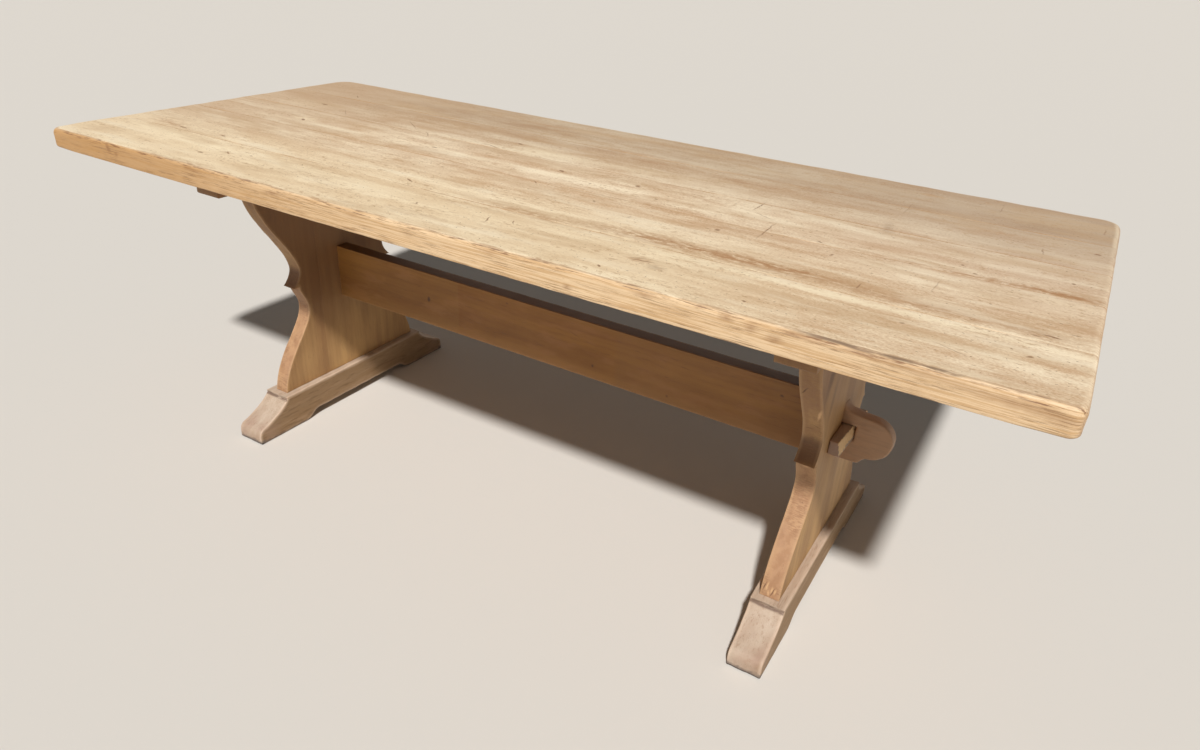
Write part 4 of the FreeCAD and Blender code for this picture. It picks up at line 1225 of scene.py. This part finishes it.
class TRESTLE_OT_wedges(TrestleOperator):
    """Make the two wedges. The right-hand one has a fresh chip at its thin end"""
    bl_idname = "trestle.wedges"
    bl_label = "Wedges"

    def execute(self, context):
        wear, colours = context.scene.trestle_wear, context.scene.trestle_colours
        for side, seed in zip(SIDES, (61, 62)):
            node = "wedge_" + side
            low, high = box_mm(node)
            outline = section(node, Z, (low[2] + high[2]) / 2)[0]
            shell = plank(Shell(), [even(outline, WEDGE_STEP)], Z, level(low[2]), level(high[2]),
                          worn_arris(wear.wedge_arris / MM, seed), rough=0.5, seed=seed, cell=WEDGE_STEP)
            piece = shell.piece(node + "_wood")
            fresh = piece.data.attributes.new("fresh", "FLOAT", "POINT")
            if side == "right":
                self.chip(piece, fresh, low, high)
            # Planed oak, close and straight in the grain, which hands have polished and knocks have bruised.
            oak = Oak(f"Handled oak, {side} wedge", Y, seed, ((low[0] + high[0]) / 2 - 40, 0, 330),
                      colours.wedge_light, colours.wedge_dark, contrast=0.9, rings=0.3, ring_width=5.0,
                      ring_bend=12, layers=PLANED)
            oak.pores("#4e3524", 0.25)
            oak.tint("#a07c66", 0.5, oak.facing(FRONT))
            oak.tint("#b48d70", 0.35, oak.carried("edge", 0.5, 1.0))
            oak.tint("#ecca98", 0.95, oak.carried("fresh", 0.2, 0.8))
            finish_piece(piece, node, "wedge_oak", oak.finish(0.6, 0.5), node)
        return {"FINISHED"}

    def chip(self, piece, fresh, low, high):
        """Splits the outer arris off the thin end: points past a slanting plane are moved onto it."""
        points = np.empty(3 * len(piece.data.vertices), np.float32)
        piece.data.vertices.foreach_get("co", points)
        points = points.reshape(-1, 3) / MM
        normal = np.array(CHIP["normal"]) / np.linalg.norm(CHIP["normal"])
        past = (points - np.array([low[0] + CHIP["from"], low[1], high[2]])) @ normal
        past += CHIP["rough"] * (wander(points, 9, 5) - 0.5)
        moved = points - np.outer(np.clip(past, 0, None), normal)
        piece.data.vertices.foreach_set("co", (moved * MM).astype(np.float32).ravel())
        fresh.data.foreach_set("value", np.clip(past / 0.6, 0, 1).astype(np.float32))
        piece.data.update()


# --- Dowels and coach screws ----------------------------------------------------------------------

DOWEL_FLUTES = 10
FLUTE_DEPTH = 0.08                # share of the dowel's radius
DOWEL_TAPER = 2.0                 # length of the tapered ends
DOWEL_END = 0.8                   # their radius, as a share of the dowel's
SCREW_RADIUS, WASHER_BORE = 4.0, 4.4
THREAD_PITCH = 3.2
THREAD_DEPTH = 0.26               # share of the screw's radius
THREAD_START = (26.0, 30.0)       # the thread sets in over these heights above the head's lower face
GIMLET = 12.0                     # length of the screw's point
GIMLET_TIP = 0.12                 # its radius at the tip, as a share of the screw's
ACROSS_FLATS = math.sqrt(3) / 2   # a hexagon's width across flats over its width across corners
HEAD_CONE = (1.35, 0.86)          # the cone that chamfers a head, above and below, over the head's radius


def solids(node):
    """Lowest and highest corner, in millimetres, of each separate solid of a node."""
    work = welded(node)
    left, found = set(work.verts), []
    while left:
        waiting, corners = [left.pop()], []
        while waiting:
            vert = waiting.pop()
            corners.append(tuple(vert.co))
            beside = {edge.other_vert(vert) for edge in vert.link_edges} & left
            left -= beside
            waiting += beside
        found.append((np.min(corners, 0) / MM, np.max(corners, 0) / MM))
    work.free()
    return sorted(found, key=lambda ends: tuple(ends[0]))


def repeated(node, name, shape, sizes, material, turn=(0, 0, 0), at_bottom=False):
    """One mesh with a shape at the middle, or the bottom, of each solid of a node. Geometry Nodes put it
    there: shape(new, given) makes it from the named sizes, which are in millimetres."""
    tree = bpy.data.node_groups.new(name, "GeometryNodeTree")
    for kind, sockets in (("Geometry", ("Points",)), ("Float", sizes), ("Material", ("Finish",))):
        for socket in sockets:
            tree.interface.new_socket(socket, in_out="INPUT", socket_type="NodeSocket" + kind)
    tree.interface.new_socket("Pieces", in_out="OUTPUT", socket_type="NodeSocketGeometry")
    new = partial(add, tree)
    given = new("NodeGroupInput").outputs
    smooth = new("GeometryNodeSetShadeSmooth", {"Geometry": shape(new, given), "Shade Smooth": True})
    placed = new("GeometryNodeInstanceOnPoints",
                 {"Points": given["Points"], "Instance": smooth, "Rotation": turn})
    real = new("GeometryNodeRealizeInstances", {"Geometry": placed})
    finished = new("GeometryNodeSetMaterial", {"Geometry": real, "Material": given["Finish"]})
    new("NodeGroupOutput", {0: finished})
    boxes = solids(node)
    spots = [(*((low + high) / 2)[:2], low[Z] if at_bottom else (low[Z] + high[Z]) / 2)
             for low, high in boxes]
    base = bpy.data.meshes.new(node)
    base.from_pydata(np.array(spots) * MM, [], [])
    piece = linked(node + "_turned", base)
    repeat = piece.modifiers.new("Repeat", "NODES")
    repeat.node_group = tree
    values = {**{size: value * MM for size, value in sizes.items()}, "Finish": material}
    for socket in tree.interface.items_tree:
        if socket.in_out == "INPUT" and socket.name in values:
            repeat[socket.identifier] = values[socket.name]
    mesh = evaluated(piece)
    piece.modifiers.clear()
    piece.data = mesh
    mesh.set_sharp_from_angle(angle=math.radians(SMOOTH_DEGREES))
    return piece


def thinned(new, body, spot, share):
    """A round body with its points drawn in towards the Z axis, to a share of their distance."""
    shares = new("ShaderNodeCombineXYZ", {0: share, 1: share, 2: 1.0})
    moved = new("ShaderNodeVectorMath", {0: spot, 1: shares}, operation="MULTIPLY")
    return new("GeometryNodeSetPosition", {"Geometry": body, "Position": moved})


def polar(new):
    """Where each point of a round body is, that place's x, y and z, and its angle round the Z axis."""
    spot = new("GeometryNodeInputPosition")
    parts = new("ShaderNodeSeparateXYZ", {0: spot}).outputs
    return spot, parts, new("ShaderNodeMath", {0: parts[Y], 1: parts[X]}, operation="ARCTAN2")


def dowel_shape(new, given):
    """A fluted dowel along Z, with its ends tapered."""
    body = new("GeometryNodeMeshCylinder", {"Vertices": 4 * DOWEL_FLUTES, "Side Segments": 14,
                                            "Radius": given["Radius"], "Depth": given["Length"]})
    spot, parts, angle = polar(new)
    angle = new("ShaderNodeMath", {0: angle, 1: float(DOWEL_FLUTES)}, operation="MULTIPLY")
    wave = new("ShaderNodeMath", {0: angle}, operation="COSINE")
    flute = new("ShaderNodeMapRange",
                {"Value": wave, "From Min": 0.2, "To Min": 1.0, "To Max": 1 - FLUTE_DEPTH})
    height = new("ShaderNodeMath", {0: parts[Z]}, operation="ABSOLUTE")
    half = new("ShaderNodeMath", {0: given["Length"], 1: 0.5}, operation="MULTIPLY")
    start = new("ShaderNodeMath", {0: half, 1: given["Taper"]}, operation="SUBTRACT")
    taper = new("ShaderNodeMapRange", {"Value": height, "From Min": start, "From Max": half, "To Min": 1.0,
                                       "To Max": DOWEL_END})
    return thinned(new, body, spot, new("ShaderNodeMath", {0: flute, 1: taper}, operation="MULTIPLY"))


def screw_shape(new, given):
    """A coach screw that points up from its hexagon head: plain shank, then a thread with a gimlet point."""
    high = given["Head height"]
    half = new("ShaderNodeMath", {0: high, 1: 0.5}, operation="MULTIPLY")
    corner = new("ShaderNodeMath", {0: given["Head flats"], 1: 0.5 / ACROSS_FLATS}, operation="MULTIPLY")
    wide, narrow = [new("ShaderNodeMath", {0: corner, 1: share}, operation="MULTIPLY")
                    for share in HEAD_CONE]
    prism = new("GeometryNodeMeshCylinder", {"Vertices": 6, "Radius": corner, "Depth": high})
    cone = new("GeometryNodeMeshCone", {"Vertices": 48, "Radius Top": wide, "Radius Bottom": narrow,
                                        "Depth": high})
    down = new("ShaderNodeCombineXYZ", {2: new("ShaderNodeMath", {0: half, 1: -1.0}, operation="MULTIPLY")})
    cone = new("GeometryNodeTransform", {"Geometry": cone, "Translation": down})
    head = new("GeometryNodeMeshBoolean", {"Mesh 2": [cone, prism]}, operation="INTERSECT", solver="EXACT")
    head = new("GeometryNodeTransform", {"Geometry": head,
                                         "Translation": new("ShaderNodeCombineXYZ", {2: half})})

    long = new("ShaderNodeMath", {0: given["Length"], 1: high}, operation="SUBTRACT")
    middle = new("ShaderNodeMath", {0: long, 1: 0.5, 2: high}, operation="MULTIPLY_ADD")
    shank = new("GeometryNodeMeshCylinder", {"Vertices": 16, "Side Segments": 150, "Radius": given["Radius"],
                                             "Depth": long})
    shank = new("GeometryNodeTransform", {"Geometry": shank,
                                          "Translation": new("ShaderNodeCombineXYZ", {2: middle})})
    spot, parts, angle = polar(new)
    turn = new("ShaderNodeMath", {0: angle, 1: 0.5 / math.pi}, operation="MULTIPLY")
    phase = new("ShaderNodeMath", {0: parts[Z], 1: 1 / (THREAD_PITCH * MM), 2: turn},
                operation="MULTIPLY_ADD")
    ridge = new("ShaderNodeMath", {0: phase, 1: 0.5}, operation="PINGPONG")
    root = new("ShaderNodeMapRange", {"Value": ridge, "From Min": 0.1, "From Max": 0.4,
                                      "To Min": 1 - THREAD_DEPTH})
    begun = new("ShaderNodeMapRange", {"Value": parts[Z], "From Min": THREAD_START[0] * MM,
                                       "From Max": THREAD_START[1] * MM})
    thread = new("ShaderNodeMix", {0: begun, 2: 1.0, 3: root})
    tip = new("ShaderNodeMath", {0: given["Length"], 1: -GIMLET * MM}, operation="ADD")
    point = new("ShaderNodeMapRange", {"Value": parts[Z], "From Min": tip, "From Max": given["Length"],
                                       "To Min": 1.0, "To Max": GIMLET_TIP})
    share = new("ShaderNodeMath", {0: thread, 1: point}, operation="MULTIPLY")
    return new("GeometryNodeJoinGeometry", {0: [head, thinned(new, shank, spot, share)]})


def washer_shape(new, given):
    """A flat washer that lies on its point."""
    half, deep = [new("ShaderNodeMath", {0: given["Thickness"], 1: share}, operation="MULTIPLY")
                  for share in (0.5, 2.0)]
    disc = new("GeometryNodeMeshCylinder", {"Vertices": 48, "Radius": given["Radius"],
                                            "Depth": given["Thickness"]})
    bore = new("GeometryNodeMeshCylinder", {"Vertices": 32, "Radius": given["Bore"], "Depth": deep})
    ring = new("GeometryNodeMeshBoolean", {"Mesh 1": disc, "Mesh 2": bore}, operation="DIFFERENCE",
               solver="EXACT")
    return new("GeometryNodeTransform", {"Geometry": ring,
                                         "Translation": new("ShaderNodeCombineXYZ", {2: half})})


def blotched(name, scale, detail, light, dark, start, end):
    """A material whose colour goes from light to dark where fine noise goes from start to end, the noise,
    and the function that adds a node."""
    material, new = empty_material(name)
    spot = new("ShaderNodeVectorMath", {0: new("ShaderNodeTexCoord").outputs["Object"], 1: scale},
               operation="MULTIPLY")
    noise = new("ShaderNodeTexNoise", {"Vector": spot, "Scale": 1.0, "Detail": detail})
    mask = new("ShaderNodeMapRange", {"Value": noise, "From Min": start, "From Max": end})
    colour = new("ShaderNodeMix", {0: mask, MIX_A: (*light, 1), MIX_B: (*linear(dark), 1)}, data_type="RGBA")
    shader = new("ShaderNodeBsdfPrincipled", {"Base Color": colour.outputs[MIX_COLOUR]})
    new("ShaderNodeOutputMaterial", {0: shader})
    return material, noise, shader.inputs, new


def beech(colours):
    """Turned beech: pale, even and close-grained, with short brown flecks along the dowel, which lies
    along Y."""
    material, flecks, surface, new = blotched("Turned beech", (1400, 260, 1400), 2.0, colours.beech,
                                              "#a97c52", 0.5, 0.7)
    surface["Roughness"].default_value, surface["IOR"].default_value = 0.6, 1.5
    bump = new("ShaderNodeBump", {"Strength": 0.3, "Distance": 0.1 * MM, "Height": flecks})
    material.node_tree.links.new(bump.outputs[0], surface["Normal"])
    return material


def zinc_steel(colours):
    """Zinc-plated steel that has gone dull: grey, softly glossy, with darker blotches where it has
    tarnished."""
    material, tarnish, surface, new = blotched("Dull zinc-plated steel", (420.0,) * 3, 4.0, colours.zinc,
                                               "#7d7a74", 0.4, 0.65)
    surface["Metallic"].default_value = 1.0
    gloss = new("ShaderNodeMapRange", {"Value": tarnish, "From Min": 0.3, "From Max": 0.7, "To Min": 0.36,
                                       "To Max": 0.56})
    material.node_tree.links.new(gloss.outputs[0], surface["Roughness"])
    return material


class TRESTLE_OT_dowels(TrestleOperator):
    """Make the fluted dowels in the glued joints of the top and the uprights"""
    bl_idname = "trestle.dowels"
    bl_label = "Dowels"

    def execute(self, context):
        wood = beech(context.scene.trestle_colours)
        for node in ("top_dowels", "upright_dowels"):
            low, high = solids(node)[0]
            sizes = {"Radius": (high - low)[0] / 2, "Length": (high - low)[1], "Taper": DOWEL_TAPER}
            piece = repeated(node, "Dowels", dowel_shape, sizes, wood, turn=(math.pi / 2, 0, 0))
            finish_piece(piece, TABLE, "dowel_beech", wood, node)
        return {"FINISHED"}


class TRESTLE_OT_screws(TrestleOperator):
    """Make the coach screws and washers that hold the top to the head rails"""
    bl_idname = "trestle.screws"
    bl_label = "Coach screws and washers"

    def execute(self, context):
        steel = zinc_steel(context.scene.trestle_colours)
        low, high = solids("top_screws")[0]
        washer_low, washer_high = solids("top_screw_washers")[0]
        screw = {"Head flats": max(high[:2] - low[:2]) * ACROSS_FLATS, "Head height": washer_low[2] - low[2],
                 "Radius": SCREW_RADIUS, "Length": high[2] - low[2]}
        washer = {"Radius": (washer_high[0] - washer_low[0]) / 2, "Bore": WASHER_BORE,
                  "Thickness": washer_high[2] - washer_low[2]}
        for node, name, shape, sizes in (("top_screws", "Coach screws", screw_shape, screw),
                                         ("top_screw_washers", "Washers", washer_shape, washer)):
            piece = repeated(node, name, shape, sizes, steel, at_bottom=True)
            finish_piece(piece, TABLE, "zinc_steel", steel, node)
        return {"FINISHED"}


# --- Stage ----------------------------------------------------------------------------------------

CAMERA_PLACE = (0.9861, -1.4701, 1.2240)                 # metres
CAMERA_TURNS = (("Z", 29.6227), ("X", 61.5347), ("Z", 3.2550))      # heading, tilt and roll in degrees
SENSOR_WIDTH = 36.0
KEY_FROM = (0.30, -0.64, 0.84)                           # towards the main lamp
FLOOR_SIZE = 80.0


class TRESTLE_OT_stage(TrestleOperator):
    """Make the pale floor, the soft studio light and the camera"""
    bl_idname = "trestle.stage"
    bl_label = "Stage"

    def execute(self, context):
        settings = context.scene.trestle_stage
        self.floor(settings)
        self.lamps(settings)
        self.camera(settings)
        context.scene.view_settings.view_transform = "Standard"
        return {"FINISHED"}

    def floor(self, settings):
        """A plain matt floor, which is clear from below so that the underside can be seen."""
        mesh = bpy.data.meshes.new("floor")
        half = FLOOR_SIZE / 2
        mesh.from_pydata([(-half, -half, 0), (half, -half, 0), (half, half, 0), (-half, half, 0)], [],
                         [(0, 1, 2, 3)])
        material, new = empty_material("Plain pale floor")
        shader = new("ShaderNodeBsdfPrincipled", {"Base Color": (*settings.floor, 1), "Roughness": 0.9})
        below = new("ShaderNodeNewGeometry").outputs["Backfacing"]
        new("ShaderNodeOutputMaterial", {
            0: new("ShaderNodeMixShader", {0: below, 1: shader, 2: new("ShaderNodeBsdfTransparent")})})
        mesh.materials.append(material)
        floor = linked("floor", mesh)

    def lamps(self, settings):
        """One soft lamp from high in front, a little to the right, and a world that lights faintly but
        looks pale."""
        lamp = bpy.data.lights.new("key", "SUN")
        lamp.energy, lamp.angle = settings.key, settings.key_softness
        linked("key", lamp).rotation_euler = Vector(KEY_FROM).to_track_quat("Z", "Y").to_euler()
        world = bpy.context.scene.world = bpy.data.worlds.new("studio")
        world.use_nodes = True
        world.node_tree.nodes.clear()
        new = partial(add, world.node_tree)
        ray = new("ShaderNodeLightPath").outputs
        seen = new("ShaderNodeMath", {0: ray["Is Camera Ray"], 1: ray["Is Glossy Ray"]}, operation="MAXIMUM")
        seen = new("ShaderNodeMath", {0: seen, 1: ray["Is Transmission Ray"]}, operation="MAXIMUM")
        sky = new("ShaderNodeBackground", {"Color": (1, 1, 1, 1), "Strength": settings.sky})
        shown = new("ShaderNodeBackground", {"Color": (*settings.backdrop, 1), "Strength": 1.0})
        new("ShaderNodeOutputWorld", {0: new("ShaderNodeMixShader", {0: seen, 1: sky, 2: shown})})

    def camera(self, settings):
        """A hand-held camera at chest height, to the right of the middle."""
        data = bpy.data.cameras.new("camera")
        data.lens, data.sensor_width = settings.lens, SENSOR_WIDTH
        data.clip_start, data.clip_end = 0.05, 200
        camera = bpy.context.scene.camera = linked("camera", data)
        place = Matrix.Translation(CAMERA_PLACE)
        for axis, degrees in CAMERA_TURNS:
            place @= Matrix.Rotation(math.radians(degrees), 4, axis)
        camera.matrix_world = place


OPERATORS = (TRESTLE_OT_top_boards, TRESTLE_OT_head_rails, TRESTLE_OT_uprights, TRESTLE_OT_feet,
             TRESTLE_OT_stretcher, TRESTLE_OT_wedges, TRESTLE_OT_dowels, TRESTLE_OT_screws, TRESTLE_OT_stage)


class TRESTLE_PT_table(bpy.types.Panel):
    """Lists the table's pieces and settings in the sidebar"""
    bl_idname = "TRESTLE_PT_table"
    bl_label = "Trestle dining table"
    bl_space_type = "VIEW_3D"
    bl_region_type = "UI"
    bl_category = "Table"

    def draw(self, context):
        for operator in OPERATORS:
            self.layout.operator(operator.bl_idname)
        for name, group in SETTINGS.items():
            box = self.layout.box()
            box.label(text=group.__doc__.rstrip("."))
            for setting in group.__annotations__:
                box.prop(getattr(context.scene, name), setting)


CLASSES = (*SETTINGS.values(), *OPERATORS, TRESTLE_PT_table)


def register():
    for found in CLASSES:
        bpy.utils.register_class(found)
    for name, group in SETTINGS.items():
        setattr(bpy.types.Scene, name, PointerProperty(type=group))


def unregister():
    for name in SETTINGS:
        delattr(bpy.types.Scene, name)
    for found in reversed(CLASSES):
        bpy.utils.unregister_class(found)


def main():
    register()
    oak_figure()
    bpy.ops.trestle.top_boards()
    bpy.ops.trestle.head_rails()
    bpy.ops.trestle.uprights()
    bpy.ops.trestle.feet()
    bpy.ops.trestle.stretcher()
    bpy.ops.trestle.wedges()
    bpy.ops.trestle.dowels()
    bpy.ops.trestle.screws()
    bpy.ops.trestle.stage()


if __name__ == "__main__":
    main()
